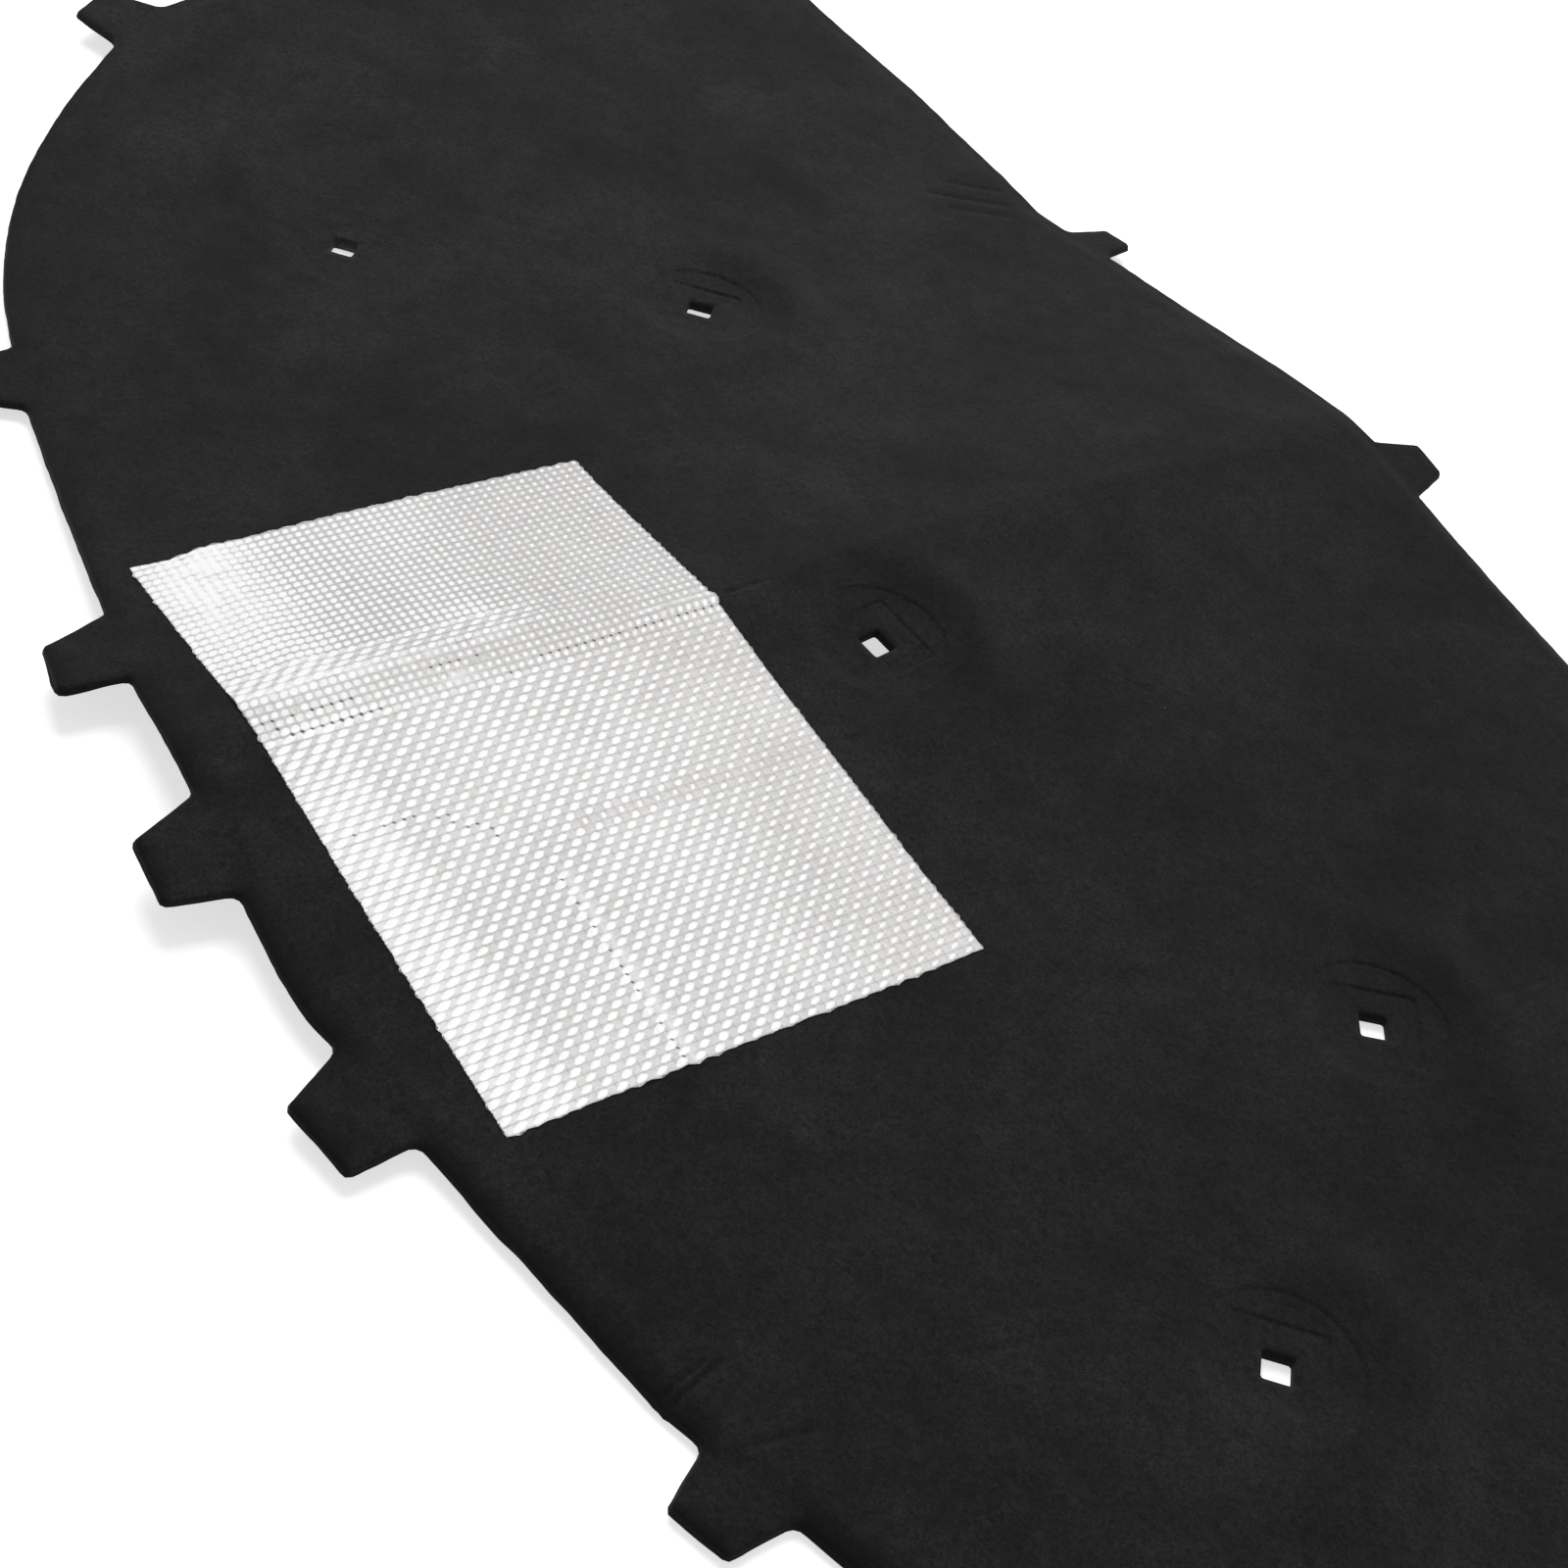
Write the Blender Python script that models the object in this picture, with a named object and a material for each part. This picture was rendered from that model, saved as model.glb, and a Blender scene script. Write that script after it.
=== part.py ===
"""Engine bay insulation pad, lying with its engine side up.

The pad is drawn flat first: X runs across the car, Y from its front edge to its rear edge, and the
origin is on the pad's middle line, beside the centre clip hole. The hood side is at Z = 0 there. The
flat pieces are then bent to the shape that the pad lies in: a shipping fold near the middle, with both
halves sagging away from it, resting on the floor and curling up again towards the ends.
"""

import math

import bmesh
import bpy
from mathutils import Matrix, Vector

# Felt section
BODY_THICKNESS = 0.009
RIM_THICKNESS = 0.004
RIM_WIDTH = 0.010
RIM_SLOPE_WIDTH = 0.008
BLOCK_CORNER_RADIUS = 0.080

# Pad outline: half width at the sides, and the reach of the front and rear edges from the origin
HALF_WIDTH = 0.650
FRONT_REACH = 0.330
REAR_REACH = 0.352
CORNER_RISE = 0.2195
CORNER_TAB_ROOT = 0.034

# Tabs of the front edge, from the far one to the near one
FAR_OUTER_TAB_X = -0.317
FAR_OUTER_TAB_WIDTH = 0.046
FAR_INNER_TAB_X = -0.118
FAR_INNER_TAB_WIDTH = 0.044
CENTRE_TAB_X = 0.0015
CENTRE_TAB_WIDTH = 0.051
NEAR_INNER_TAB_X = 0.1305
NEAR_INNER_TAB_WIDTH = 0.049
NEAR_OUTER_TAB_X = 0.324
NEAR_OUTER_TAB_WIDTH = 0.038
TAB_LENGTH = 0.030
OUTER_TAB_LENGTH = 0.027

# Tabs at the front corners and on the rear edge, and the roundings of all tabs
CORNER_TAB_LENGTH = 0.031
CORNER_TAB_TAPER = 0.008
REAR_TAB_X = -0.0065
REAR_TAB_WIDTH = 0.041
REAR_TAB_LENGTH = 0.0255
REAR_SIDE_TAB_X = 0.250
REAR_SIDE_TAB_WIDTH = 0.0285
REAR_SIDE_TAB_LENGTH = 0.023
TAB_ROOT_RADIUS = 0.005
TAB_TIP_RADIUS = 0.004

# Clip holes, the square seat round each, and the round dish round that
HOLE_SIZE = 0.0134
SEAT_SIZE = 0.040
SEAT_DEPTH = 0.0012
SEAT_CORNER_RADIUS = 0.003
SEAT_DRAFT = math.radians(6)
DISH_DIAMETER = 0.068
DISH_DEPTH = 0.0014
DISH_SLOPE_WIDTH = 0.0035
CENTRE_HOLE_X = 0.0029
CENTRE_HOLE_Y = -0.0019
REAR_HOLE_X = 0.2670
REAR_HOLE_Y = 0.0770
OUTER_HOLE_X = 0.3735
OUTER_HOLE_Y = -0.0775
SIDE_HOLE_TURN = math.radians(45)
CENTRE_HOLE_TURN = math.radians(8)

# Heat-shield patch
PATCH_LENGTH = 0.332
PATCH_WIDTH = 0.225
PATCH_X = 0.003
PATCH_FRONT_MARGIN = 0.042
PATCH_THICKNESS = 0.0008
PATCH_CORNER_RADIUS = 0.0015
BOND_GAP = 0.0003

# Bend across the pad: the fold line, the slope beside it, and the radius each half curls up with.
# The soft felt lies flat on the floor where its slope would be under REST_SLOPE.
FOLD_X = -0.0462
FOLD_HALF_WIDTH = 0.009
FAR_SLOPE = math.radians(7.56)
FAR_CURL_RADIUS = 2.564
NEAR_SLOPE = math.radians(6.42)
NEAR_CURL_RADIUS = 3.571
REST_SLOPE = math.radians(0.45)

# Fineness of the model
ARC_ERROR = 0.00025
STATION_SPACING = 0.030
FOLD_STATIONS = 4
DISH_SEGMENTS = 40
CUTTER_MARGIN = 0.006
WELD_DISTANCE = 0.00001

COLLECTION_NAME = "engine_bay_insulation_pad"


def clear_scene():
    for obj in list(bpy.data.objects):
        bpy.data.objects.remove(obj, do_unlink=True)


def new_collection(name):
    collection = bpy.data.collections.new(name)
    bpy.context.scene.collection.children.link(collection)
    return collection


def principled(name, color, roughness, metallic=0.0):
    material = bpy.data.materials.new(name)
    material.use_nodes = True
    shader = material.node_tree.nodes["Principled BSDF"]
    shader.inputs["Base Color"].default_value = (*color, 1.0)
    shader.inputs["Roughness"].default_value = roughness
    shader.inputs["Metallic"].default_value = metallic
    material.diffuse_color = (*color, 1.0)
    return material


def front_edge():
    """Front edge from the far corner tab to the near one: x, y and corner radius."""
    w = HALF_WIDTH
    y = -FRONT_REACH
    return [
        (-0.889 * w, y + CORNER_RISE - 0.003, 0.006),
        (-0.815 * w, y + 0.166, 0.150),
        (-0.711 * w, y + 0.1105, 0.150),
        (-0.592 * w, y + 0.074, 0.200),
        (-0.462 * w, y + 0.051, 0.200),
        (-0.138 * w, y + 0.0125, 0.400),
        (0.115 * w, y, 0.300),
        (0.438 * w, y + 0.0365, 0.200),
        (0.600 * w, y + 0.071, 0.200),
        (0.711 * w, y + 0.1085, 0.150),
        (0.815 * w, y + 0.165, 0.150),
        (0.892 * w, y + CORNER_RISE, 0.006),
    ]


def near_side():
    """Near side edge, from the corner tab to the rear corner."""
    w = HALF_WIDTH
    return [
        (0.929 * w, -FRONT_REACH + CORNER_RISE + CORNER_TAB_ROOT, 0.006),
        (0.969 * w, 0.020, 0.300),
        (1.000 * w, 0.150, 0.400),
        (0.985 * w, REAR_REACH - 0.082, 0.300),
        (0.938 * w, REAR_REACH - 0.026, 0.060),
    ]


def rear_edge():
    """Rear edge from the near corner to the far one."""
    w = HALF_WIDTH
    y = REAR_REACH
    return [
        (0.831 * w, y - 0.0215, 0.300),
        (0.646 * w, y - 0.0175, 0.500),
        (0.446 * w, y - 0.0235, 0.100),
        (0.346 * w, y - 0.0170, 0.100),
        (0.200 * w, y - 0.0095, 0.500),
        (0.023 * w, y - 0.0040, 0.300),
        (-0.045 * w, y + 0.0005, 0.300),
        (-0.169 * w, y, 0.500),
        (-0.346 * w, y - 0.0110, 0.100),
        (-0.438 * w, y - 0.0220, 0.050),
        (-0.503 * w, y - 0.0170, 0.050),
        (-0.646 * w, y - 0.0150, 0.500),
        (-0.831 * w, y - 0.0210, 0.300),
    ]


def far_side():
    """Far side edge, the near one mirrored, from the rear corner to the corner tab."""
    return [(-x, y, radius) for x, y, radius in reversed(near_side())]


def tab_corners(root_a, root_b, length, taper_a, taper_b):
    """Four corners of a tab that stands out to the right of the line from root_a to root_b."""
    a = Vector(root_a)
    b = Vector(root_b)
    along = (b - a).normalized()
    out = Vector((along.y, -along.x))
    tip_a = a + out * length + along * taper_a
    tip_b = b + out * length - along * taper_b
    return [
        (a.x, a.y, TAB_ROOT_RADIUS),
        (tip_a.x, tip_a.y, TAB_TIP_RADIUS),
        (tip_b.x, tip_b.y, TAB_TIP_RADIUS),
        (b.x, b.y, TAB_ROOT_RADIUS),
    ]


def edge_point(edge, x):
    """Point of an edge, given as corners, at the given x."""
    def miss(side):
        low, high = sorted((side[0][0], side[1][0]))
        return max(low - x, x - high)

    start, end = min(zip(edge, edge[1:]), key=miss)
    return x, start[1] + (end[1] - start[1]) * (x - start[0]) / (end[0] - start[0])


def with_tabs(edge, tabs):
    """Edge corners with each tab's corners put in: centre x, width, length and the two tapers."""
    direction = 1 if edge[-1][0] > edge[0][0] else -1
    corners = list(edge)
    for centre, width, length, taper_a, taper_b in tabs:
        start = centre - direction * width / 2
        end = centre + direction * width / 2
        tab = tab_corners(edge_point(edge, start), edge_point(edge, end), length, taper_a, taper_b)
        corners = [c for c in corners if abs(c[0] - centre) > width / 2]
        place = sum(1 for c in corners if (centre - c[0]) * direction > 0)
        corners[place:place] = tab
    return corners


def front_tabs():
    """The far side of each tab leans towards the near end, the near side stands almost square."""
    return [
        (FAR_OUTER_TAB_X, FAR_OUTER_TAB_WIDTH, OUTER_TAB_LENGTH, 0.0100, 0.0080),
        (FAR_INNER_TAB_X, FAR_INNER_TAB_WIDTH, TAB_LENGTH, 0.0165, -0.0025),
        (CENTRE_TAB_X, CENTRE_TAB_WIDTH, TAB_LENGTH, 0.0160, 0.0030),
        (NEAR_INNER_TAB_X, NEAR_INNER_TAB_WIDTH, TAB_LENGTH, 0.0105, 0.0035),
        (NEAR_OUTER_TAB_X, NEAR_OUTER_TAB_WIDTH, OUTER_TAB_LENGTH, 0.0055, 0.0080),
    ]


def rear_tabs():
    return [
        (REAR_SIDE_TAB_X, REAR_SIDE_TAB_WIDTH, REAR_SIDE_TAB_LENGTH, 0.0105, -0.0010),
        (REAR_TAB_X, REAR_TAB_WIDTH, REAR_TAB_LENGTH, 0.0110, 0.0075),
        (-REAR_SIDE_TAB_X, REAR_SIDE_TAB_WIDTH, REAR_SIDE_TAB_LENGTH, -0.0010, 0.0105),
    ]


def corner_tab(root_a, root_b):
    corners = tab_corners(root_a[:2], root_b[:2], CORNER_TAB_LENGTH, CORNER_TAB_TAPER, CORNER_TAB_TAPER)
    return corners[1:3]


def rounded(corners):
    """Closed outline through the corners, each rounded to its radius as far as its sides allow."""
    points = []
    count = len(corners)
    for i, (x, y, radius) in enumerate(corners):
        here = Vector((x, y))
        before = Vector(corners[i - 1][:2]) - here
        after = Vector(corners[(i + 1) % count][:2]) - here
        turn = math.pi - before.angle(after)
        if turn < 0.001:
            points.append(here)
            continue
        reach = min(radius * math.tan(turn / 2), 0.48 * before.length, 0.48 * after.length)
        radius = reach / math.tan(turn / 2)
        inward = (before.normalized() + after.normalized()).normalized()
        centre = here + inward * (radius / math.cos(turn / 2))
        start = here + before.normalized() * reach - centre
        sense = 1 if before.cross(after) < 0 else -1
        step = 2 * math.acos(max(0.0, 1 - ARC_ERROR / radius))
        steps = max(2, math.ceil(turn / step))
        for k in range(steps + 1):
            points.append(centre + Matrix.Rotation(sense * turn * k / steps, 2) @ start)
    return points


def inset(points, distance):
    """Closed outline moved inwards by a distance."""
    result = []
    count = len(points)
    for i, point in enumerate(points):
        tangent = (points[(i + 1) % count] - points[i - 1]).normalized()
        result.append(point + Vector((-tangent.y, tangent.x)) * distance)
    return result


def tabbed_outline():
    front = front_edge()
    near = near_side()
    far = far_side()
    corners = with_tabs(front, front_tabs())
    corners += corner_tab(front[-1], near[0]) + near
    corners += with_tabs(rear_edge(), rear_tabs())
    corners += far + corner_tab(far[-1], front[0])
    return rounded(corners)


def plain_outline():
    """Outline of the pad without its tabs, with every corner soft enough to be moved inwards."""
    corners = front_edge() + near_side() + rear_edge() + far_side()
    return rounded([(x, y, max(radius, BLOCK_CORNER_RADIUS)) for x, y, radius in corners])


def flat_solid(name, points, low, high):
    """Solid plate between two heights, from a filled flat curve."""
    curve = bpy.data.curves.new(name + "_outline", "CURVE")
    curve.dimensions = "2D"
    curve.fill_mode = "BOTH"
    curve.extrude = (high - low) / 2
    spline = curve.splines.new("POLY")
    spline.points.add(len(points) - 1)
    spline.use_cyclic_u = True
    for spline_point, point in zip(spline.points, points):
        spline_point.co = (point.x, point.y, 0.0, 1.0)
    source = bpy.data.objects.new(name + "_outline", curve)
    bpy.context.scene.collection.objects.link(source)
    mesh = evaluated_mesh(source)
    bpy.data.objects.remove(source, do_unlink=True)
    bm = bmesh.new()
    bm.from_mesh(mesh)
    bpy.data.meshes.remove(mesh)
    bmesh.ops.remove_doubles(bm, verts=bm.verts, dist=WELD_DISTANCE)
    bmesh.ops.translate(bm, verts=bm.verts, vec=(0, 0, (low + high) / 2))
    bmesh.ops.recalc_face_normals(bm, faces=bm.faces)
    return mesh_object(name, bm)


def mesh_object(name, bm):
    mesh = bpy.data.meshes.new(name)
    bm.to_mesh(mesh)
    bm.free()
    obj = bpy.data.objects.new(name, mesh)
    bpy.context.scene.collection.objects.link(obj)
    return obj


def evaluated_mesh(obj):
    bpy.context.view_layer.update()
    depsgraph = bpy.context.evaluated_depsgraph_get()
    return bpy.data.meshes.new_from_object(obj.evaluated_get(depsgraph))


def move_to(obj, collection):
    for owner in list(obj.users_collection):
        owner.objects.unlink(obj)
    collection.objects.link(obj)


def clip_places():
    """Centre and turn of each clip hole. The side ones are measured from the centre one."""
    places = [(CENTRE_HOLE_X, CENTRE_HOLE_Y, CENTRE_HOLE_TURN)]
    for side in (-1, 1):
        for x, y in ((REAR_HOLE_X, REAR_HOLE_Y), (OUTER_HOLE_X, OUTER_HOLE_Y)):
            places.append((CENTRE_HOLE_X + side * x, CENTRE_HOLE_Y + y, SIDE_HOLE_TURN))
    return places


def rectangle(x, y, half_x, half_y, corner_radius):
    """Closed outline of a rectangle about a centre, with rounded corners if a radius is given."""
    signs = ((-1, -1), (1, -1), (1, 1), (-1, 1))
    corners = [(x + sx * half_x, y + sy * half_y, corner_radius) for sx, sy in signs]
    if corner_radius > 0:
        return rounded(corners)
    return [Vector(corner[:2]) for corner in corners]


def square_cutter(name, size, low, corner_radius, draft):
    """Square prisms at all clip places, from a height up past the pad's face, widening by a draft."""
    half = size / 2
    height = BODY_THICKNESS + CUTTER_MARGIN - low
    spread = 1 + height * math.tan(draft) / half
    widen_and_lift = Matrix.Translation((0, 0, height)) @ Matrix.Diagonal((spread, spread, 1, 1))
    bm = bmesh.new()
    for x, y, turn in clip_places():
        verts = [bm.verts.new((p.x, p.y, low)) for p in rectangle(0.0, 0.0, half, half, corner_radius)]
        grown = bmesh.ops.extrude_face_region(bm, geom=[bm.faces.new(verts)])
        top = [item for item in grown["geom"] if isinstance(item, bmesh.types.BMVert)]
        bmesh.ops.transform(bm, matrix=widen_and_lift, verts=top)
        place = Matrix.Translation((x, y, 0)) @ Matrix.Rotation(turn, 4, "Z")
        bmesh.ops.transform(bm, matrix=place, verts=verts + top)
    bmesh.ops.recalc_face_normals(bm, faces=bm.faces)
    return mesh_object(name, bm)


def dish_cutter(name):
    """Cones at all clip places, DISH_DIAMETER wide at the pad's face."""
    floor_radius = DISH_DIAMETER / 2 - DISH_SLOPE_WIDTH
    top_radius = floor_radius + DISH_SLOPE_WIDTH * (DISH_DEPTH + CUTTER_MARGIN) / DISH_DEPTH
    depth = DISH_DEPTH + CUTTER_MARGIN
    bm = bmesh.new()
    for x, y, _ in clip_places():
        bmesh.ops.create_cone(
            bm,
            cap_ends=True,
            segments=DISH_SEGMENTS,
            radius1=floor_radius,
            radius2=top_radius,
            depth=depth,
            matrix=Matrix.Translation((x, y, BODY_THICKNESS - DISH_DEPTH + depth / 2)),
        )
    return mesh_object(name, bm)


def boolean(obj, other, operation):
    modifier = obj.modifiers.new(other.name, "BOOLEAN")
    modifier.operation = operation
    modifier.solver = "EXACT"
    modifier.object = other


def hide_cutter(obj, collection):
    move_to(obj, collection)
    obj.hide_render = True
    obj.display_type = "WIRE"


def body_block():
    """Thick body of the felt, which slopes back from the thin rim to the hood side."""
    outline = plain_outline()
    rim_low = BODY_THICKNESS - RIM_THICKNESS
    levels = [
        (RIM_WIDTH + RIM_SLOPE_WIDTH, 0.0),
        (RIM_WIDTH, rim_low),
        (RIM_WIDTH, rim_low + RIM_THICKNESS / 2),
    ]
    bm = bmesh.new()
    rings = []
    for distance, z in levels:
        rings.append([bm.verts.new((p.x, p.y, z)) for p in inset(outline, distance)])
    bm.faces.new(reversed(rings[0]))
    bm.faces.new(rings[-1])
    count = len(outline)
    for lower, upper in zip(rings, rings[1:]):
        for i in range(count):
            j = (i + 1) % count
            bm.faces.new((lower[i], lower[j], upper[j], upper[i]))
    return mesh_object("body_block", bm)


def flat_pad(cutters):
    """The whole pad, flat, with its dishes, seats and clip holes."""
    pad = flat_solid("flat_pad", tabbed_outline(), BODY_THICKNESS - RIM_THICKNESS, BODY_THICKNESS)
    seat_low = BODY_THICKNESS - DISH_DEPTH - SEAT_DEPTH
    tools = [
        (body_block(), "UNION"),
        (dish_cutter("dish_cutter"), "DIFFERENCE"),
        (square_cutter("seat_cutter", SEAT_SIZE, seat_low, SEAT_CORNER_RADIUS, SEAT_DRAFT), "DIFFERENCE"),
        (square_cutter("hole_cutter", HOLE_SIZE, -CUTTER_MARGIN, 0.0, 0.0), "DIFFERENCE"),
    ]
    for tool, operation in tools:
        boolean(pad, tool, operation)
        hide_cutter(tool, cutters)
    return pad


def flat_patch():
    """Flat patch, bonded a margin back from the front edge."""
    half_y = PATCH_WIDTH / 2
    y = -FRONT_REACH + PATCH_FRONT_MARGIN + half_y
    low = BODY_THICKNESS + BOND_GAP
    outline = rectangle(PATCH_X, y, PATCH_LENGTH / 2, half_y, PATCH_CORNER_RADIUS)
    return flat_solid("flat_patch", outline, low, low + PATCH_THICKNESS)


def slope_at(x):
    """Slope angle of the bent pad at a place across it, rising towards +X."""
    far = FAR_SLOPE + (x - FOLD_X) / FAR_CURL_RADIUS
    near = -NEAR_SLOPE + (x - FOLD_X) / NEAR_CURL_RADIUS
    share = min(1.0, max(0.0, 0.5 + (x - FOLD_X) / (2 * FOLD_HALF_WIDTH)))
    slope = far + (near - far) * share
    return slope if abs(slope) > REST_SLOPE else 0.0


def stations():
    """Places where the sheet turns. None lies inside a dish, so each clip seat stays flat."""
    reach = HALF_WIDTH + CORNER_TAB_LENGTH
    flats = []
    for x, _, _ in clip_places():
        flats.append((x - DISH_DIAMETER / 2, x + DISH_DIAMETER / 2))
    flats.sort()
    merged = []
    for low, high in flats:
        if merged and low < merged[-1][1]:
            merged[-1][1] = max(high, merged[-1][1])
        else:
            merged.append([low, high])
    places = []
    start = -reach
    for low, high in merged + [[reach, None]]:
        steps = max(1, math.ceil((low - start) / STATION_SPACING))
        places += [start + (low - start) * k / steps for k in range(steps + 1)]
        start = high
    for k in range(FOLD_STATIONS + 1):
        places.append(FOLD_X + FOLD_HALF_WIDTH * (2 * k / FOLD_STATIONS - 1))
    clear = [x for x in places if not any(low < x < high for low, high in merged)]
    clear.sort()
    kept = [clear[0]]
    for x in clear[1:]:
        if x - kept[-1] > FOLD_HALF_WIDTH / FOLD_STATIONS:
            kept.append(x)
    return kept


class Bend:
    """Maps the flat pad to the shape it lies in, straight between one station and the next."""

    def __init__(self):
        self.x = stations()
        self.base = [Vector((self.x[0], 0.0))]
        for start, end in zip(self.x, self.x[1:]):
            angle = slope_at((start + end) / 2)
            self.base.append(self.base[-1] + Vector((math.cos(angle), math.sin(angle))) * (end - start))
        self.up = []
        for i in range(len(self.x)):
            a = self.base[max(0, i - 1)]
            b = self.base[min(len(self.x) - 1, i + 1)]
            along = (b - a).normalized()
            self.up.append(Vector((-along.y, along.x)))

    def place(self, co):
        i = 0
        while i < len(self.x) - 2 and co.x > self.x[i + 1]:
            i += 1
        share = (co.x - self.x[i]) / (self.x[i + 1] - self.x[i])
        base = self.base[i].lerp(self.base[i + 1], share)
        up = self.up[i].lerp(self.up[i + 1], share)
        bent = base + up * co.z
        return Vector((bent.x, co.y, bent.y))


def bend_object(flat, name, bend, material, collection):
    """Bent copy of a flat piece, cut into strips at the stations first."""
    mesh = evaluated_mesh(flat)
    bm = bmesh.new()
    bm.from_mesh(mesh)
    bpy.data.meshes.remove(mesh)
    bmesh.ops.dissolve_limit(bm, angle_limit=0.0005, verts=bm.verts, edges=bm.edges)
    for x in bend.x[1:-1]:
        geometry = bm.verts[:] + bm.edges[:] + bm.faces[:]
        bmesh.ops.bisect_plane(bm, geom=geometry, plane_co=(x, 0, 0), plane_no=(1, 0, 0), dist=WELD_DISTANCE)
    bmesh.ops.triangulate(bm, faces=bm.faces)
    for vert in bm.verts:
        vert.co = bend.place(vert.co)
    bmesh.ops.remove_doubles(bm, verts=bm.verts, dist=WELD_DISTANCE)
    obj = mesh_object(name, bm)
    obj.data.materials.append(material)
    move_to(obj, collection)
    return obj


def stand_on_floor(pieces):
    """Moves the pieces so that the middle of their box's base is the origin."""
    corners = [vert.co for piece in pieces for vert in piece.data.vertices]
    low = [min(co[axis] for co in corners) for axis in range(3)]
    high = [max(co[axis] for co in corners) for axis in range(3)]
    shift = Matrix.Translation((-(low[0] + high[0]) / 2, -(low[1] + high[1]) / 2, -low[2]))
    for piece in pieces:
        piece.data.transform(shift)
        piece.data.update()


def main():
    clear_scene()
    parts = new_collection(COLLECTION_NAME)
    cutters = new_collection("cutters")
    felt = principled("black_felt", (0.020, 0.020, 0.021), 0.95)
    foil = principled("woven_foil", (0.72, 0.71, 0.72), 0.35, 0.6)
    bend = Bend()
    pad_blank = flat_pad(cutters)
    patch_blank = flat_patch()
    pad = bend_object(pad_blank, "insulation_pad", bend, felt, parts)
    patch = bend_object(patch_blank, "heat_shield_patch", bend, foil, parts)
    for blank in (pad_blank, patch_blank):
        bpy.data.objects.remove(blank, do_unlink=True)
    stand_on_floor([pad, patch])


main()
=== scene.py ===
"""Looks of the engine bay insulation pad: a moulded black felt with a woven foil heat-shield patch.

Both pieces are drawn flat, in the coordinates that the pad's blank has: X runs across the car, Y from
its front edge to its rear edge, the origin is on the pad's middle line and Z is the height over the
hood side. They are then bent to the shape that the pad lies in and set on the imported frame.
"""

import math
from collections import namedtuple

import bpy
import numpy as np
from mathutils import Matrix, Vector
from mathutils.geometry import delaunay_2d_cdt


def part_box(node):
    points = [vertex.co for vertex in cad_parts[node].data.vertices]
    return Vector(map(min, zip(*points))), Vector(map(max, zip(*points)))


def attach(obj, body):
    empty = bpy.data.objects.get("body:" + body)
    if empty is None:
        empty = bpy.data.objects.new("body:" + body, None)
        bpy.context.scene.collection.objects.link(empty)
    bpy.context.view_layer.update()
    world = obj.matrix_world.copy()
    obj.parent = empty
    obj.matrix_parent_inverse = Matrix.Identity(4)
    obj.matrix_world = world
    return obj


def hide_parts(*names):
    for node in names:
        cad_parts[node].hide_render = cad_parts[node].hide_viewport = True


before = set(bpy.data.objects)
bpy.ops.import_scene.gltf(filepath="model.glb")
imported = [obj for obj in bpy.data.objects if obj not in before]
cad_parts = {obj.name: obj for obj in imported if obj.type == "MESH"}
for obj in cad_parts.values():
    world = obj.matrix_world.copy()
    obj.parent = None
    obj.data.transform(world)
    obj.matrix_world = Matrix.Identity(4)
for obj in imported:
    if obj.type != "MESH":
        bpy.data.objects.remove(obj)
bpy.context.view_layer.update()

MM = 0.001

# Felt section. The engine side drops softly to the rim and the tabs.
BODY_THICKNESS = 0.009
RIM_THICKNESS = 0.004
RIM_WIDTH = 0.010
RIM_SLOPE_WIDTH = 0.008
FAR_RIM_DROP = 0.0014
NEAR_RIM_DROP = 0.0028
FAR_RIM_FLAT = 0.0040
NEAR_RIM_FLAT = 0.0005
RIM_DROP_WIDTH = 0.0085
BLOCK_CORNER_RADIUS = 0.080
EDGE_ROUND = 0.0022

# Pad outline and tabs, as in the frame
HALF_WIDTH = 0.650
FRONT_REACH = 0.330
REAR_REACH = 0.352
CORNER_RISE = 0.2195
CORNER_TAB_ROOT = 0.034
CORNER_TAB_LENGTH = 0.031
CORNER_TAB_TAPER = 0.008
TAB_ROOT_RADIUS = 0.005
TAB_TIP_RADIUS = 0.0025

# Clip holes, seats and dishes
HOLE_SIZE = 0.0134
HOLE_CORNER_RADIUS = 0.0012
SEAT_SIZE = 0.040
SEAT_DEPTH = 0.0012
SEAT_CORNER_RADIUS = 0.003
DISH_DIAMETER = 0.068
DISH_DEPTH = 0.0014
DISH_GROOVE = 0.00035
SEAT_GROOVE = 0.00038
MOUND_HEIGHT = 0.0032
MOUND_RADIUS = 0.055
MOUND_HALF_WIDTH = 0.016
DIMPLE_DEPTH = 0.0009
DIMPLE_RADIUS = 0.060
RECESS_DEPTH = 0.0018
RECESS_RADIUS = 0.018
CENTRE_HOLE_X = 0.0029
CENTRE_HOLE_Y = -0.0019
REAR_HOLE_X = 0.2670
REAR_HOLE_Y = 0.0770
OUTER_HOLE_X = 0.3735
OUTER_HOLE_Y = -0.0775

# Heat-shield patch
PATCH_LENGTH = 0.332
PATCH_WIDTH = 0.225
PATCH_X = 0.003
PATCH_FRONT_MARGIN = 0.042
PATCH_Y = -FRONT_REACH + PATCH_FRONT_MARGIN + PATCH_WIDTH / 2
BOND_GAP = 0.0003
CLOTH_RISE = 0.00045
WARP_YARNS = 78
WEFT_YARNS = 51
WARP_PITCH = PATCH_LENGTH / WARP_YARNS
WEFT_PITCH = PATCH_WIDTH / WEFT_YARNS
WARP_CELLS = 5
WEFT_CELLS = 4
YARN_LEAN = 0.28
SPOT_POWER = 1.7
WARP_WAVE = 0.28 * MM
WEFT_WAVE = 0.10 * MM

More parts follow.
